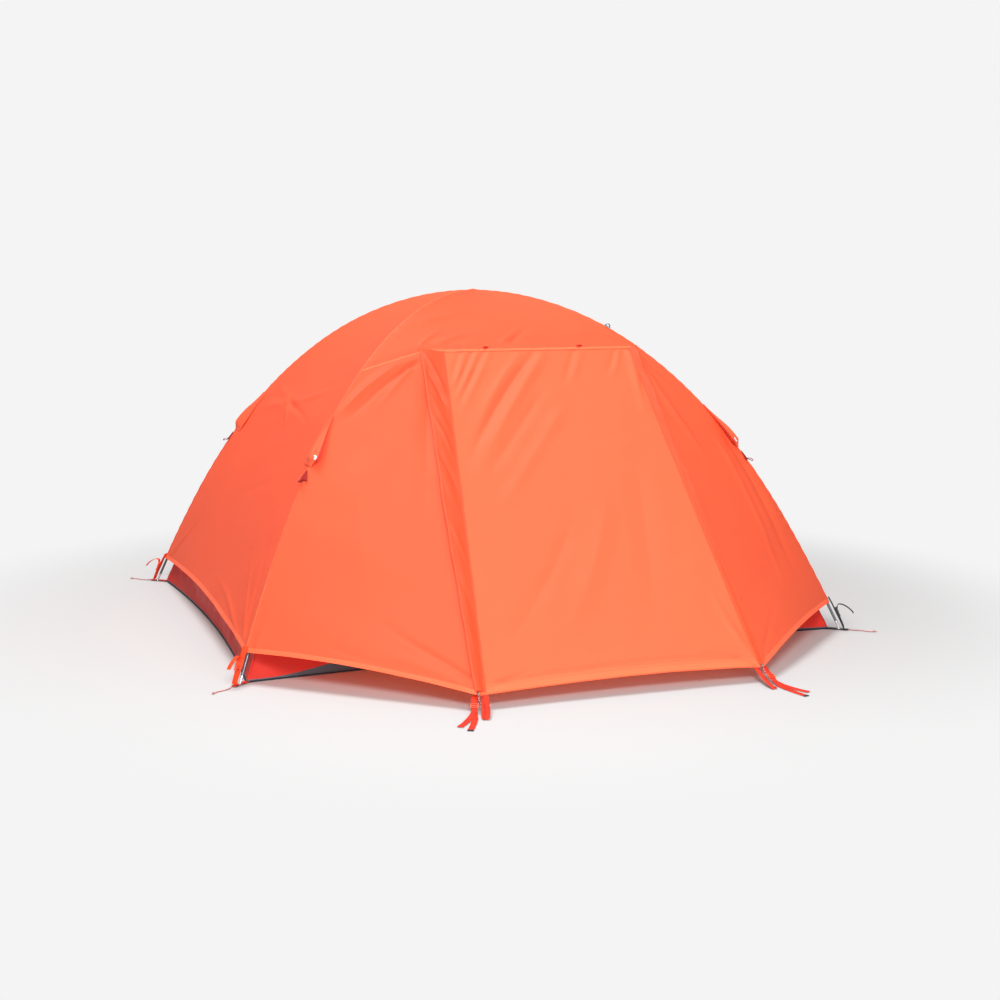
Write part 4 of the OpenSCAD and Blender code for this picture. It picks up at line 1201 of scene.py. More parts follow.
def flap_folds(side):
    """Slanted folds, one below another, from a flap's free edge down to its seam."""
    folds = []
    for i, down in enumerate((0.015, 0.09, 0.21, 0.30, 0.45, 0.56, 0.74, 0.95, 1.12)):
        line = []
        for f, drop in ((0.92, 0.0), (0.5, 0.09), (0.08, 0.20)):
            at = min(down + drop, DOOR_L - 0.02)
            sewn, free = flap_edges(side, at / DOOR_L)
            line.append((sewn + (free - sewn) * f, -at, 0.0))
        height = (0.0060 * math.exp(-2.0 * down) + 0.0016) * (1, -1.2, 0.7)[i % 3]
        width = (0.013, 0.018, 0.022)[i % 3]
        folds.append(fold(smooth_path(line, 7), width, height * FLAP_INNER[side] / 0.05, 0.15, 0.30))
    return folds


def make_door(half, turn):
    body = half + "_door"
    place = turn @ DOOR_FRAME
    shape = Shape()
    shape.grid(moved(place, door_sheet()))
    door = shape.piece("fly_door_cloth_" + half, body, [DOOR_CLOTH], "fly_fabric", ["fly_door_" + half])
    flaps = Shape()
    for side in (-1, 1):
        grid = flap_grid(side)
        flaps.grid(moved(place, grid))
        edge = grid[:, 0] if side < 0 else grid[:, -1]
        hem = np.stack([edge + (side * 0.0008, 0, 0.0004), edge + (-side * 0.006, 0, 0.0010)], axis=1)
        if side > 0:
            hem = hem[:, ::-1]
        flaps.grid(moved(place, hem), 1)
        foot = grid[:, -1] if side < 0 else grid[:, 0]
        seam = np.stack([foot + (side * 0.003, 0, 0.0020), foot + (-side * 0.004, 0, 0.0010)], axis=1)
        if side > 0:
            seam = seam[:, ::-1]
        flaps.grid(moved(place, seam), 1)
    flap = flaps.piece("storm_flap_cloth_" + half, body, [FLAP_CLOTH, FLAP_SEWN], "fly_fabric",
                       ["storm_flaps_" + half])
    hem = Shape()
    tree = surface_tree(door)
    edge = moved(place, door_sheet()[DOOR_ROWS - 4])
    sewn_band(hem, tree, edge, 0.030, 0.0012)
    hem.piece("fly_door_hem_" + half, body, [SEWN_CLOTH], "fly_fabric", crisp=50)


for half_name, half_turn in HALVES:
    make_door(half_name, half_turn)

# ---- Fly zips and sliders ----

COIL_PITCH = 0.0030
SLIDER_REST = 0.020
METAL_MARK = 0
CORD_MARK = 1


def make_fly_zips():
    """Tape and coil down each zip line; the coil is a chain of small turned teeth."""
    shape = Shape()
    for side in (-1, 1):
        place = zip_frame(side)
        length = zip_length(side)
        down = np.linspace(0.008, length - 0.004, 60)
        for edge in (-1, 1):
            tape = [(edge * 0.0065, -d, -0.0012) for d in down]
            shape.ribbon(moved(place, tape), axis(place, 0), 0.0105, 0.0006)
        turns = np.arange(0.008, length - 0.006, COIL_PITCH)
        spots = [(0.0013 * (-1) ** i, -d, 0.0) for i, d in enumerate(turns)]
        shape.tube(moved(place, spots), 0.0010, 6, 1)
    shape = shape.turned(HALF_TURN)
    shape.piece("fly_zip_chains", "tent", [SEWN_CLOTH, ZIP_TEETH], "zip_tape", ["fly_zips"])


def slider_shape(matrix):
    """A slider body, its bridge and pull tab, with a knotted cord through the tab."""
    s = Shape()
    for z in (-0.0024, 0.0024):
        s.block(at(matrix, 0, 0, z), (0.009, 0.015, 0.0012), 0.0005, METAL_MARK)
    s.block(at(matrix, 0, 0.006, 0), (0.0024, 0.0026, 0.0045), 0.0004, METAL_MARK)
    arch = [(0, 0.005, 0.003), (0, 0.004, 0.0046), (0, 0, 0.0052), (0, -0.004, 0.0046), (0, -0.005, 0.003)]
    s.bent_tube(matrix, arch, 12, 0.0007, 8, METAL_MARK)
    tab = [(0, -0.002, 0.0044), (0, -0.010, 0.0046), (0, -0.022, 0.0042)]
    across = axis(matrix, 0)
    s.strap(matrix, tab, 8, across, 0.0055, 0.0012, METAL_MARK)
    for lean in (-1, 1):
        cord = [(0, -0.020, 0.0046), (lean * 0.0012, -0.028, 0.0043), (lean * 0.0018, -0.036, 0.0042),
                (lean * 0.0010, -0.042, 0.0042), (lean * 0.0050, -0.054, 0.0030)]
        s.bent_tube(matrix, cord, 22, 0.0011, 8, CORD_MARK)
    knot = [(0.0014 * math.cos(t), -0.042 + 0.0012 * math.sin(2 * t), 0.0042 + 0.0014 * math.sin(t))
            for t in np.linspace(0, 2 * math.pi, 18)]
    s.tube(moved(matrix, knot), 0.0013, 8, CORD_MARK)
    return s


def make_fly_sliders():
    for side, own, opposite in ((-1, "front_left", "rear_right"), (1, "front_right", "rear_left")):
        place = at(zip_frame(side), 0, SLIDER_REST - zip_length(side), 0)
        for corner, turn in ((own, Matrix.Identity(4)), (opposite, HALF_TURN)):
            s = slider_shape(turn @ place)
            s.piece("zip_slider_" + corner, corner + "_slider", [STEEL, RED_BRAID], "slider_metal",
                    ["fly_slider_" + corner], crisp=35)


make_fly_zips()
make_fly_sliders()

# ---- Vent hoods and their struts ----

HOOD_L = 0.150
HOOD_LIFT = 0.0172
STRUT_D = VENT_D + HOOD_L - 0.012
STRUT_L = 0.0115


def toward_wing(corner):
    """The direction from a ridge towards the vestibule wing beside it."""
    return unit([-0.8 * corner[0], 0.5 * corner[1], -0.3])


def hood_grid(corner, rows=54, cols=44):
    """A flap that grows out of the end panel, over the ridge, and props open a slit beside the wing."""
    cx, cy = corner
    to_wing = toward_wing(corner)
    to_end = np.array([0, -cy, 0])
    lines = []
    for f in np.linspace(0, 1.12, rows):
        d = VENT_D - 0.03 + (HOOD_L + 0.03) * f
        open_share = float(eased(0.05, 0.85, f) * (1 - eased(0.97, 1.12, f)))
        lift = 0.0020 + HOOD_LIFT * open_share
        over = 0.006 + 0.030 * float(eased(0.0, 0.95, f)) * (1 - 0.80 * float(eased(0.97, 1.12, f)))
        root = 0.055 + 0.030 * float(eased(0.3, 1.0, f))
        points = [
            ridge(cx, cy, d, lift) + to_wing * over,
            ridge(cx, cy, d, lift + 0.0015) + to_wing * over * 0.5,
            ridge(cx, cy, d, lift + 0.0015),
            ridge(cx, cy, d, 0.0012 + lift * 0.62) + to_end * root * 0.45,
            ridge(cx, cy, d, 0.0008 + lift * 0.10) + to_end * root,
        ]
        lines.append(smooth_path(points, cols))
    grid = np.array(lines)
    flat = grid.reshape(-1, 3)
    flat[:, 2] += 0.0006 * waves(flat, 0.06, 81)
    return grid[:, ::-1] if cx * cy < 0 else grid


def make_hoods():
    shape = Shape()
    for cx, cy in CORNERS.values():
        grid = hood_grid((cx, cy))
        shape.grid(grid)
        # A dark strip laid along the slit: painted shadow under the hood's free edge.
        slit = grid[:, -1] if cx * cy < 0 else grid[:, 0]
        inner = grid[:, -6] if cx * cy < 0 else grid[:, 5]
        outward = np.array([0, cy, 0]) * 0.0008 + (0, 0, 0.0012)
        band = np.stack([slit, inner], axis=1) + outward
        shape.grid(band if cx * cy > 0 else band[:, ::-1], 1)
    hoods = shape.piece("vent_hood_cloth", "tent", [HOOD_CLOTH, PAINTED_SLIT_SHADOW], "fly_fabric", ["vent_hoods"])


def make_strut(name, corner):
    """A short flat prop on a pivot roller, with a white touch-fastener pad at its end."""
    place = ridge_frame(corner, STRUT_D, 0.005)
    shape = Shape()
    shape.tube(moved(place, [(0, y, 0) for y in np.linspace(-0.005, 0.005, 6)]), 0.0024, 16)
    shape.block(at(place, 0, 0, STRUT_L / 2), (0.0024, 0.009, STRUT_L), 0.0006)
    shape.block(at(place, 0.0018, 0, STRUT_L - 0.004), (0.0012, 0.014, 0.0110), 0.0004)
    y = 0.022 * float(np.sign(toward_wing(corner) @ axis(place, 1)))
    shape.block(at(place, 0.009, y, STRUT_L - 0.002), (0.013, 0.008, 0.0030), 0.0006)
    shape.block(at(place, 0.001, y / 2, STRUT_L - 0.002), (0.004, abs(y), 0.0024), 0.0006)
    shape.piece("vent_prop_" + name, name + "_strut", [WHITE_PLASTIC], "white_plastic",
                ["vent_strut_" + name], crisp=35)


make_hoods()
for corner_name, corner_signs in CORNERS.items():
    make_strut(corner_name, corner_signs)

# ---- Guy tabs and roll-up toggles ----


def make_guy_tabs():
    """A bar-tacked triangle of webbing with a loop through its point, on each ridge."""
    shape = Shape()
    for corner in CORNERS.values():
        place = ridge_frame(corner, GUY_D, 0.0022)
        rows = []
        for f in np.linspace(0, 1, 10):
            half = 0.002 + 0.015 * f
            x = -0.024 + 0.040 * f
            rows.append([(x, y, 0.0008 - 0.16 * abs(y)) for y in np.linspace(-half, half, 9)])
        top = moved(place, rows)
        under = moved(at(place, 0, 0, -0.0009), rows)
        rings = [np.vstack([t, u[::-1]]) for t, u in zip(top, under)]
        shape.rings(rings, 0.07)
        loop = [(0.010, 0, 0.001), (0.018, 0, 0.004), (0.027, 0, 0.009), (0.031, 0, 0.013),
                (0.027, 0, 0.015), (0.019, 0, 0.011), (0.012, 0, 0.004)]
        across = axis(place, 1)
        shape.strap(place, loop, 26, across, 0.010, 0.0010)
    shape.piece("guy_out_tabs", "tent", [MAROON_WEB], "red_trim", ["guy_tabs"])


def make_ridge_loops():
    """Short loops of webbing over the right-hand ridges, each beside a door's top corner."""
    shape = Shape()
    for corner in ((1, -1), (1, 1)):
        place = ridge_frame(corner, RIDGE_LOOP_D, 0.0034)
        across = axis(place, 1)
        base = [(x, 0, 0) for x in np.linspace(-0.012, 0.012, 12)]
        shape.ribbon(moved(place, base), across, 0.012, 0.0011)
        loop = [(-0.0078, 0, 0.001), (-0.0074, 0, 0.006), (-0.003, 0, 0.0094), (0.003, 0, 0.0094),
                (0.0074, 0, 0.006), (0.0078, 0, 0.001)]
        shape.strap(place, loop, 24, across, 0.0115, 0.0012)
    shape.piece("ridge_loops", "tent", [DARK_WEB], "red_trim")


TOGGLE_GAP = 0.183
TOGGLE_TURN = math.radians(25)


def make_toggles():
    """Barrel toggles on cord loops above each hinge seam, to hold a rolled-up door."""
    shape = Shape()
    middle = (DOOR_TOP[-1] + DOOR_TOP[1]) / 2
    for x in (middle - TOGGLE_GAP, middle + TOGGLE_GAP):
        base = Matrix.Translation((x, DOOR_TOP_Y + 0.004, CREASE[2]))
        base = base @ Matrix.Rotation(TOGGLE_TURN, 4, "Z")
        body = [(-0.014 + 0.028 * f, 0, 0.0088) for f in np.linspace(0, 1, 16)]
        radii = [0.0017 + 0.0013 * math.sqrt(bulge(f)) for f in np.linspace(0.02, 0.98, 16)]
        shape.tube(moved(base, body), radii, 14, 0)
        loop = [(0.002, 0.004, 0.003), (0.0035, 0.002, 0.0085), (0, 0, 0.0125), (-0.0035, -0.002, 0.0085),
                (-0.002, -0.006, 0.002)]
        shape.bent_tube(base, loop, 20, 0.0009, 8, 1)
        tack = [(-0.007, 0.003, 0.0034), (0.007, 0.003, 0.0034)]
        shape.strap(base, tack, 5, (0, 1, 0), 0.009, 0.0014, 1)
    shape = shape.turned(HALF_TURN)
    shape.piece("door_toggles", "tent", [RED_PLASTIC, RED_WEB], "red_trim", ["roll_up_toggles"])


make_guy_tabs()
make_ridge_loops()
make_toggles()

# ---- Corner straps, buckles, floor tabs and grommets ----

STRAP_TOP_D = HEM_D - 0.020
STRAP_END_D = POLE_HALF_L - 0.005
STRAP_L = STRAP_END_D - STRAP_TOP_D


def make_corner_straps(side):
    """Doubled webbing from the fly's corner through the buckle to the foot, with a loose tail."""
    web = ORANGE_WEB if side < 0 else DARK_WEB
    shape = Shape()
    for sy in (-1, 1):
        place = ridge_frame((side, sy), STRAP_TOP_D, 0.0068)
        across = axis(place, 1)
        main = [(0, 0, -0.001), (0.030, 0, 0.0005), (0.060, 0, 0), (0.095, 0, 0.0005), (STRAP_L, 0, -0.001)]
        shape.strap(place, main, 30, across, WEB_W)
        doubled = [(0.084, 0, 0.0045), (0.100, 0, 0.0034), (STRAP_L - 0.006, 0, 0.0018), (STRAP_L, 0, 0)]
        shape.strap(place, doubled, 14, across, WEB_W * 0.96)
        tail = [(0.052, 0, 0.010), (0.040, 0.001, 0.017), (0.044, 0.003, 0.030), (0.060, 0.005, 0.043),
                (0.079, 0.006, 0.052), (0.092, 0.006, 0.055)]
        shape.strap(place, tail, 28, across, WEB_W * 0.75)
    slot = "orange_webbing" if side < 0 else "dark_webbing"
    name = END_NAMES[side]
    shape.piece("corner_webbing_" + name, "tent", [web], slot, ["corner_straps_" + name])


def buckle(shape, place):
    """Side-release buckle: hollow female half, two sprung arms in its side windows, ladder end."""
    shape.blocks(
        place, 0.0007,
        ((0.011, 0, 0.0012), (0.022, 0.026, 0.0016)),
        ((0.011, 0, 0.0066), (0.022, 0.024, 0.0016)),
    )
    for y in (-1, 1):
        arm = [(0.030, y * 0.0075, 0.0039), (0.022, y * 0.0090, 0.0039), (0.016, y * 0.0128, 0.0039),
               (0.010, y * 0.0118, 0.0039)]
        shape.bent_tube(place, arm, 14, [0.0019] * 10 + [0.0017, 0.0015, 0.0012, 0.0008])
        shape.blocks(
            place, 0.0008,
            ((0.0035, y * 0.0115, 0.0039), (0.007, 0.0030, 0.0066)),
            ((0.0200, y * 0.0115, 0.0039), (0.004, 0.0030, 0.0066)),
            ((0.0310, y * 0.0118, 0.0039), (0.014, 0.0030, 0.0040)),
        )
    shape.blocks(
        place, 0.0008,
        ((0.0260, 0, 0.0039), (0.005, 0.0250, 0.0046)),
        ((0.0315, 0, 0.0045), (0.0022, 0.0225, 0.0030)),
        ((0.0370, 0, 0.0045), (0.0022, 0.0225, 0.0030)),
        ((0.0010, 0, 0.0045), (0.0024, 0.0225, 0.0030)),
    )


def make_buckles(side):
    shape = Shape()
    for sy in (-1, 1):
        place = at(ridge_frame((side, sy), STRAP_TOP_D, 0.0078), 0.046, 0, 0)
        buckle(shape, place)
    name = END_NAMES[side]
    material = ORANGE_PLASTIC if side < 0 else DARK_PLASTIC
    slot = "orange_plastic" if side < 0 else "dark_plastic"
    shape.piece("side_release_buckles_" + name, "tent", [material], slot,
                ["corner_buckles_" + name], crisp=35)


def ringed_tab(shape, place):
    """Floor tab: webbing with a hole for the grommet, sewn under the floor's corner."""
    hole = 0.0070
    z = FLOOR_T + WEB_T / 2
    for face, wound in ((WEB_T / 2, 1), (-WEB_T / 2, -1)):
        rows = []
        for f in np.linspace(0, 1, 4):
            row = []
            for t in np.linspace(0, 2 * math.pi, 49):
                c, s = math.cos(t), math.sin(t)
                reach = min(TAB_FRONT / max(abs(c), 1e-6) if c > 0 else TAB_BACK / max(abs(c), 1e-6),
                            WEB_W / 2 / max(abs(s), 1e-6))
                r = hole + (reach - hole) * f
                row.append((r * c, r * s, z + face * (1 - 0.3 * (f == 1))))
            rows.append(row)
        uvs = np.array([[(x + TAB_BACK, y + WEB_W / 2) for x, y, _ in row] for row in rows])
        faces = grid_faces(4, 49)
        shape.add(moved(place, rows), uvs, faces if wound < 0 else [f[::-1] for f in faces])
    rim = [(TAB_FRONT - 0.001, -WEB_W / 2, z), (TAB_FRONT - 0.001, WEB_W / 2, z)]
    shape.bent_tube(place, rim, 6, WEB_T / 2, 8)


def make_floor_tabs(side):
    web = RED_WEB if side < 0 else DARK_WEB
    shape = Shape()
    for sy in (-1, 1):
        ringed_tab(shape, foot_frame((side, sy)))
    name = END_NAMES[side]
    slot = "red_trim" if side < 0 else "dark_webbing"
    shape.piece("floor_tab_webbing_" + name, "tent", [web], slot, ["floor_tabs_" + name])


def make_grommets():
    """Rolled eyelets: a turned profile round each hole."""
    shape = Shape()
    profile = [(0.0060, -0.0012), (0.0062, 0.0010), (0.0070, 0.0019), (0.0085, 0.0020), (0.0100, 0.0016),
               (0.0105, 0.0009), (0.0098, 0.0009), (0.0072, 0.0009), (0.0072, -0.0009), (0.0098, -0.0009),
               (0.0105, -0.0012), (0.0098, -0.0018), (0.0070, -0.0018)]
    for corner in CORNERS.values():
        place = at(foot_frame(corner), 0, 0, FLOOR_T + WEB_T / 2)
        turns = np.linspace(0, 2 * math.pi, 49)[:-1]
        rings = [[(r * math.cos(t), r * math.sin(t), z) for r, z in profile] for t in turns]
        sides = len(profile)
        faces = grid_faces(len(turns), sides, around=True)
        last = (len(turns) - 1) * sides
        faces += [(last + c, c, (c + 1) % sides, last + (c + 1) % sides) for c in range(sides)]
        shape.add(moved(place, rings), np.zeros((len(turns) * sides, 2)), faces)
    shape.piece("rolled_grommets", "tent", [STEEL], "grommet", ["corner_grommets"], crisp=60)


for end in (-1, 1):
    make_corner_straps(end)
    make_buckles(end)
    make_floor_tabs(end)
make_grommets()

# ---- Straps and adjusters at the vestibules' hem corners ----


def hem_corner_frame(side):
    place = Matrix.Translation((side * DOOR_HEM_W / 2, -VESTIBULE_Y - 0.002, 0))
    return place @ Matrix.Rotation(STRAP_TURN[side], 4, "Z")


def make_vestibule_straps():
    """At each hem corner: stake-out webbing with two tails outside, a plain stake loop inside."""
    shape = Shape()
    for side in (-1, 1):
        place = hem_corner_frame(side) @ Matrix.Diagonal((-side, 1, 1, 1))
        turn = np.array(place.to_3x3())
        straight, slanted = turn @ [1, 0, 0], turn @ [0.95, -0.30, 0]
        x = -0.013
        main = [(x, 0.012, 0.043), (x, -0.004, 0.034), (x, -0.030, 0.021), (x, -0.052, 0.011),
                (x, -0.066, 0.006)]
        left = [(x, -0.055, 0.0105), (x - 0.010, -0.090, 0.0050), (x - 0.026, -0.140, 0.0024),
                (x - 0.040, -0.178, 0.0030)]
        right = [(x, -0.056, 0.0090), (x + 0.003, -0.095, 0.0036), (x - 0.001, -0.150, 0.0018),
                 (x - 0.008, -0.205, 0.0014)]
        tip = [(x - 0.008, -0.202, 0.0016), (x - 0.0095, -0.213, 0.0016)]
        parts = ((main, straight, 0), (left, slanted, 0), (right, straight, 0), (tip, straight, 1))
        for path, across, mark in parts:
            shape.strap(place, path, 24, across, WEB_W * 0.95, mark=mark)
        x = 0.018
        loop = [(x, 0.010, 0.043), (x, -0.004, 0.036), (x - 0.002, -0.030, 0.020), (x - 0.003, -0.066, 0.006),
                (x, -0.096, 0.0032), (x + 0.006, -0.101, 0.0052), (x + 0.010, -0.086, 0.012),
                (x + 0.009, -0.050, 0.022), (x + 0.005, -0.012, 0.038), (x + 0.003, 0.010, 0.044)]
        shape.strap(place, loop, 60, straight, WEB_W * 0.75)
    shape = shape.turned(HALF_TURN)
    shape.piece("vestibule_webbing", "tent", [RED_WEB, DARK_WEB], "orange_webbing", ["vestibule_straps"])


def make_adjusters():
    """Ladder adjusters: two side rails and three bars, the lowest one raised as a thumb grip."""
    shape = Shape()
    fall = math.atan2(0.0354, 0.062)
    for side in (-1, 1):
        place = at(hem_corner_frame(side), side * 0.013, -0.030, 0.0225)
        place = place @ Matrix.Rotation(fall, 4, "X")
        for x in (-0.0105, 0.0105):
            shape.block(at(place, x, 0, 0), (0.0030, 0.018, 0.0038), 0.0009)
        for y, z, tall in ((0.0078, 0, 0.0030), (0, 0.0008, 0.0030), (-0.0078, 0.0012, 0.0044)):
            shape.block(at(place, 0, y, z), (0.0215, 0.0030, tall), 0.0009)
    shape = shape.turned(HALF_TURN)
    shape.piece("ladder_adjusters", "tent", [ORANGE_PLASTIC], "orange_plastic",
                ["vestibule_adjusters"], crisp=35)


make_vestibule_straps()
make_adjusters()

# ---- Inner canopy, hung from the poles, with its doors ----

INNER_HEM_D = POLE_HALF_L - 0.176
INNER_TOP_D = CREASE_D + 0.001
INNER_TOP = ridge(1, 1, CREASE_D + 0.004, -INNER_DROP)
WALL_FOOT = ridge(1, 1, INNER_HEM_D, -INNER_DROP)
WALL_LEAN = math.atan2(INNER_TOP[2] - WALL_FOOT[2], WALL_FOOT[1] - INNER_TOP[1])
WALL_FRAME = Matrix.Translation((0, -WALL_FOOT[1], WALL_FOOT[2])) @ Matrix.Rotation(WALL_LEAN, 4, "X")
INNER_DOOR_W = 0.860
INNER_DOOR_H = 0.780
DOOR_FOOT = 0.040
DOOR_CORNER_R = 0.200
INNER_DOOR_MIDDLE = np.array([0.0, 0.43, 0.0])


def inner_door_line(grow, count=96):
    """Outline of the inner door in the wall's plane: square foot, round head."""
    w, h, r = INNER_DOOR_W / 2 + grow, INNER_DOOR_H + 2 * grow, DOOR_CORNER_R + grow
    foot = DOOR_FOOT - grow
    centre_y = foot + h - r
    turns = np.linspace(0, math.pi / 2, 14)
    points = [(-w, foot), (w, foot), (w, centre_y)]
    points += [(w - r + r * math.cos(t), centre_y + r * math.sin(t)) for t in turns[1:]]
    points += [(-w + r - r * math.sin(t), centre_y + r * math.cos(t)) for t in turns]
    points.append((-w, foot))
    line = np.array([(x, y, 0.0) for x, y in points])
    lengths = np.concatenate([[0], np.cumsum(np.linalg.norm(np.diff(line, axis=0), axis=1))])
    spots = np.linspace(0, lengths[-1], count, endpoint=False)
    return np.array([[np.interp(s, lengths, line[:, k]) for k in range(3)] for s in spots])


def inner_wall():
    """The front wall as a ring of cloth between its own outline and the door's."""
    top, foot = INNER_TOP, WALL_FOOT
    height = math.hypot(foot[1] - top[1], top[2] - foot[2])
    inner = inner_door_line(ZIP_GAP)
    middle = INNER_DOOR_MIDDLE
    outer = []
    for p in inner:
        way = unit(p - middle)
        steps = []
        if way[1] > 1e-6:
            steps.append((height - middle[1]) / way[1])
        if way[1] < -1e-6:
            steps.append(-middle[1] / way[1])
        # The side edges lean in from the foot to the top
        lean = (top[0] - foot[0]) / height
        denominator = abs(way[0]) - lean * way[1]
        if denominator > 1e-6:
            steps.append((foot[0] + lean * middle[1]) / denominator)
        outer.append(middle + way * min(s for s in steps if s > 0))
    outer = np.array(outer)
    f = np.linspace(0, 1, 18)[:, None, None]
    grid = inner[None] * (1 - f) + outer[None] * f
    grid[:, :, 2] -= 0.006 * bulge(f[:, :, 0])
    return np.concatenate([grid, grid[:, :1]], axis=1)


def make_inner_canopy():
    shape = Shape()
    rows = np.linspace(0.010, INNER_TOP_D, 24)
    cols = np.linspace(0, 1, 33)
    lines = {corner: ridge_line(corner, rows, -INNER_DROP) for corner in CORNERS.values()}
    front = tautened(chords(lines[-1, -1], lines[1, -1], cols), 0.3, cols)
    left = tautened(chords(lines[-1, 1], lines[-1, -1], cols), 0.3, cols)
    end_rows = np.linspace(INNER_TOP_D, INNER_HEM_D, 34)
    end_ridges = [ridge_line((-1, sy), end_rows, -INNER_DROP) for sy in (1, -1)]
    end = tautened(chords(*end_ridges, cols), 1.0, cols)
    wall = moved(WALL_FRAME, inner_wall())
    for turn in ((1, 1, 1), (-1, -1, 1)):
        for grid in (front, left, end, wall):
            shape.grid(grid * turn)
    names = ["inner_roof", "inner_end_left", "inner_end_right", "inner_wall_front", "inner_wall_rear"]
    inner = shape.piece("inner_canopy_cloth", "tent", [INNER_CLOTH], "inner_fabric", names, weld=0.0002)
    push_out(inner, lambda p: 0.0015 * waves(p, 0.45, 41) + 0.0006 * waves(p, 0.12, 42))


def make_inner_door(half, turn):
    """A mesh door with a bound edge, in the opening of the inner wall."""
    outline = inner_door_line(-0.001)
    middle = INNER_DOOR_MIDDLE
    f = np.linspace(0, 1, 20)[:, None, None]
    grid = middle * (1 - f) + outline[None] * f
    flat = grid.reshape(-1, 3)
    flat[:, 2] += 0.0015 * waves(flat, 0.3, 51) * (1 - eased(0.8, 1.0, np.repeat(f.ravel(), grid.shape[1])))
    grid = np.concatenate([grid, grid[:, :1]], axis=1)
    place = turn @ WALL_FRAME
    shape = Shape()
    shape.add(moved(place, grid), grid[:, :, :2], grid_faces(*grid.shape[:2]))
    ring = np.concatenate([outline, outline[:2]])
    inward = np.cross((0, 0, 1), unit(np.gradient(ring, axis=0)))
    binding = Shape()
    binding.ribbon(moved(place, ring + inward * 0.006), directed(place, inward), 0.012, 0.0012)
    binding.piece("inner_door_binding_" + half, "inner_" + half + "_door", [TUB_CLOTH], "inner_fabric")
    door = shape.piece("inner_door_cloth_" + half, "inner_" + half + "_door", [MESH_CLOTH],
                       "inner_fabric", ["inner_door_" + half], weld=0.00001)


def make_inner_zips():
    """Coil round each inner door's foot, free side and head."""
    shape = Shape()
    line = inner_door_line(ZIP_GAP / 2, 420)
    keep = (line[:, 0] > -INNER_DOOR_W / 2 + 0.02) | (line[:, 1] > DOOR_FOOT + INNER_DOOR_H - DOOR_CORNER_R)
    start = next(i for i in range(len(line)) if keep[i] and not keep[i - 1])
    order = [(start + i) % len(line) for i in range(len(line)) if keep[(start + i) % len(line)]]
    path = line[order]
    along = unit(np.gradient(path, axis=0))
    side = np.cross((0, 0, 1), along)
    zigzag = path + side * 0.0008 * ((-1.0) ** np.arange(len(path)))[:, None]
    shape.tube(moved(WALL_FRAME, zigzag), 0.0010, 6, 1)
    tape = moved(WALL_FRAME, path + (0, 0, -0.0012))
    shape.ribbon(tape, directed(WALL_FRAME, side), 0.011, 0.0006)
    shape = shape.turned(HALF_TURN)
    shape.piece("inner_zip_chains", "tent", [TUB_CLOTH, ZIP_TEETH], "zip_tape", ["inner_zips"])


def make_inner_sliders():
    place = at(WALL_FRAME, INNER_DOOR_W / 2 + ZIP_GAP / 2, DOOR_FOOT + 0.015, 0)
    for half, turn in HALVES:
        s = slider_shape(turn @ place)
        s.piece("inner_zip_slider_" + half, "inner_" + half + "_slider", [STEEL, RED_BRAID], "slider_metal",
                ["inner_slider_" + half], crisp=35)


make_inner_canopy()
for half_name, half_turn in HALVES:
    make_inner_door(half_name, half_turn)
make_inner_zips()
make_inner_sliders()

# ---- Bathtub walls and floor ----

FLOOR_X = (HALF_DIAGONAL - FLOOR_INSET) * math.cos(DIAGONAL_ANGLE)
FLOOR_Y = (HALF_DIAGONAL - FLOOR_INSET) * math.sin(DIAGONAL_ANGLE)


def long_edge(f):
    """A point of the floor's front edge, f from -1 to 1."""
    return np.array([f * FLOOR_X, -FLOOR_Y + EDGE_CURVE * (1 - f * f)])


def short_edge(f):
    """A point of the floor's left edge, f from -1 at the rear to 1 at the front."""
    return np.array([-FLOOR_X + EDGE_CURVE * (1 - f * f), -f * FLOOR_Y])


def tub_grid(edge, top_of, low, high, cols=160, rows=14):
    """Part of a bathtub wall, slightly slack, between two heights given as shares of the wall."""
    grid = np.zeros((rows, cols + 1, 3))
    rise = np.zeros((rows, cols + 1))
    for c, f in enumerate(np.linspace(-1, 1, cols + 1)):
        foot, top = edge(f), top_of(f)
        for r, part in enumerate(np.linspace(1, 0, rows)):
            share = low(f) * (1 - part) + high(f) * part
            rise[r, c] = share
            grid[r, c, :2] = foot * (1 - share) + top * share
            grid[r, c, 2] = FLOOR_T * 0.6 + share * (WALL_FOOT[2] - FLOOR_T * 0.6)
    flat = grid.reshape(-1, 3)
    outward = unit(np.array([*edge(0.0), 0.0]))
    slack = 0.005 * waves(flat, 0.34, 61) + 0.0018 * waves(flat, 0.08, 62)
    flat += outward * (slack * bulge(rise.ravel()))[:, None]
    return grid


def front_turn_up_and_painted_shade(f):
    """How far the dark floor cloth reaches up the front wall: at the corners its real narrow turn-up, towards
    the middle a taller dark strip that is painted shade under the vestibule.
    """
    return 0.05 + 0.72 * float(eased(0.06, 0.62, 1 - abs(f)))


def end_turn_up(f):
    """The end walls show only a narrow, even strip of it."""
    return 0.05


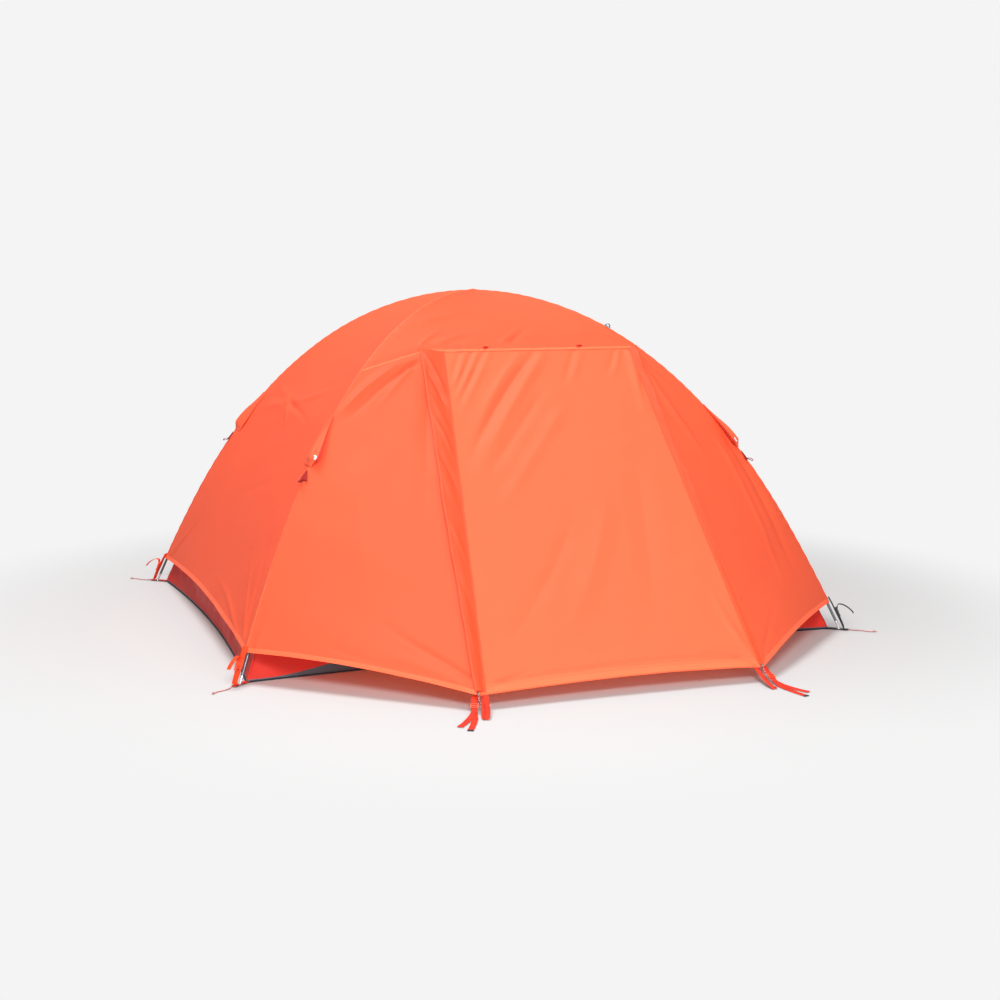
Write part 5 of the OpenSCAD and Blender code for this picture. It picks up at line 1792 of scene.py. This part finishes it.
def make_tub():
    def front_top(f):
        return np.array([f * WALL_FOOT[0], -WALL_FOOT[1]])

    def left_top(f):
        return np.array([-WALL_FOOT[0], -f * WALL_FOOT[1]])

    walls = {
        "front": (long_edge, front_top, front_turn_up_and_painted_shade, Matrix.Identity(4)),
        "rear": (long_edge, front_top, front_turn_up_and_painted_shade, HALF_TURN),
        "left": (short_edge, left_top, end_turn_up, Matrix.Identity(4)),
        "right": (short_edge, left_top, end_turn_up, HALF_TURN),
    }
    for name, (edge, top_of, turn_up, turn) in walls.items():
        shape = Shape()
        # The lower part of each wall takes the dark floor cloth. On the front and rear walls its taller middle
        # is painted shade.
        for mark, low, high in ((0, turn_up, lambda f: 1.0), (1, lambda f: 0.0, turn_up)):
            grid = tub_grid(edge, top_of, low, high)
            shape.grid(moved(turn, grid), mark)
        wall = shape.piece("tub_cloth_" + name, "tent", [TUB_CLOTH, FLOOR_CLOTH], "tub_fabric",
                           ["tub_" + name], weld=0.00002)


def make_floor_sheet():
    """The waterproof floor: a shallow wrinkled sheet with a bound edge that follows its outline."""
    runs = ((long_edge, 1, 60), (short_edge, -1, 50), (long_edge, -1, 60), (short_edge, 1, 50))
    edge = np.array([
        (*(sign * edge_at(f)), 0.0)
        for edge_at, sign, count in runs for f in np.linspace(-1, 1, count)[:-1]
    ])
    f = np.linspace(0, 1, 60)[:, None, None]
    grid = edge[None] * f
    flat = grid.reshape(-1, 3)
    shares = np.repeat(f.ravel(), len(edge))
    flat[:, 2] = 0.0016 + (1 - eased(0.85, 1, shares)) * 0.0007 * (1 + waves(flat, 0.25, 71) / 2)
    grid = np.concatenate([grid, grid[:, :1]], axis=1)
    shape = Shape()
    shape.add(grid, grid[:, :, :2], grid_faces(*grid.shape[:2]))
    ring = np.vstack([edge, edge[:2]])
    binding = Shape()
    binding.tube(ring * (1, 1, 0) + (0, 0, 0.0026), 0.0026, 8)
    binding.piece("floor_binding", "tent", [DARK_WEB], "floor_fabric")
    floor = shape.piece("floor_cloth", "tent", [FLOOR_CLOTH], "floor_fabric", ["floor_sheet"], weld=0.00001)


make_tub()
make_floor_sheet()

# ---- CAD pieces that keep their shape and get their real material ----

KEPT = {
    "lower_pole": ALUMINIUM,
    "upper_pole": ALUMINIUM,
    "pole_ferrules": FERRULE_METAL,
    "pole_tips": FERRULE_METAL,
    "shock_cords": ELASTIC,
    "crossing_clip": DARK_PLASTIC,
    "pole_clips": DARK_PLASTIC,
}
for node_name, node_material in KEPT.items():
    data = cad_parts[node_name].data
    if not data.materials:
        data.materials.append(node_material)
    for index in range(len(data.materials)):
        data.materials[index] = node_material
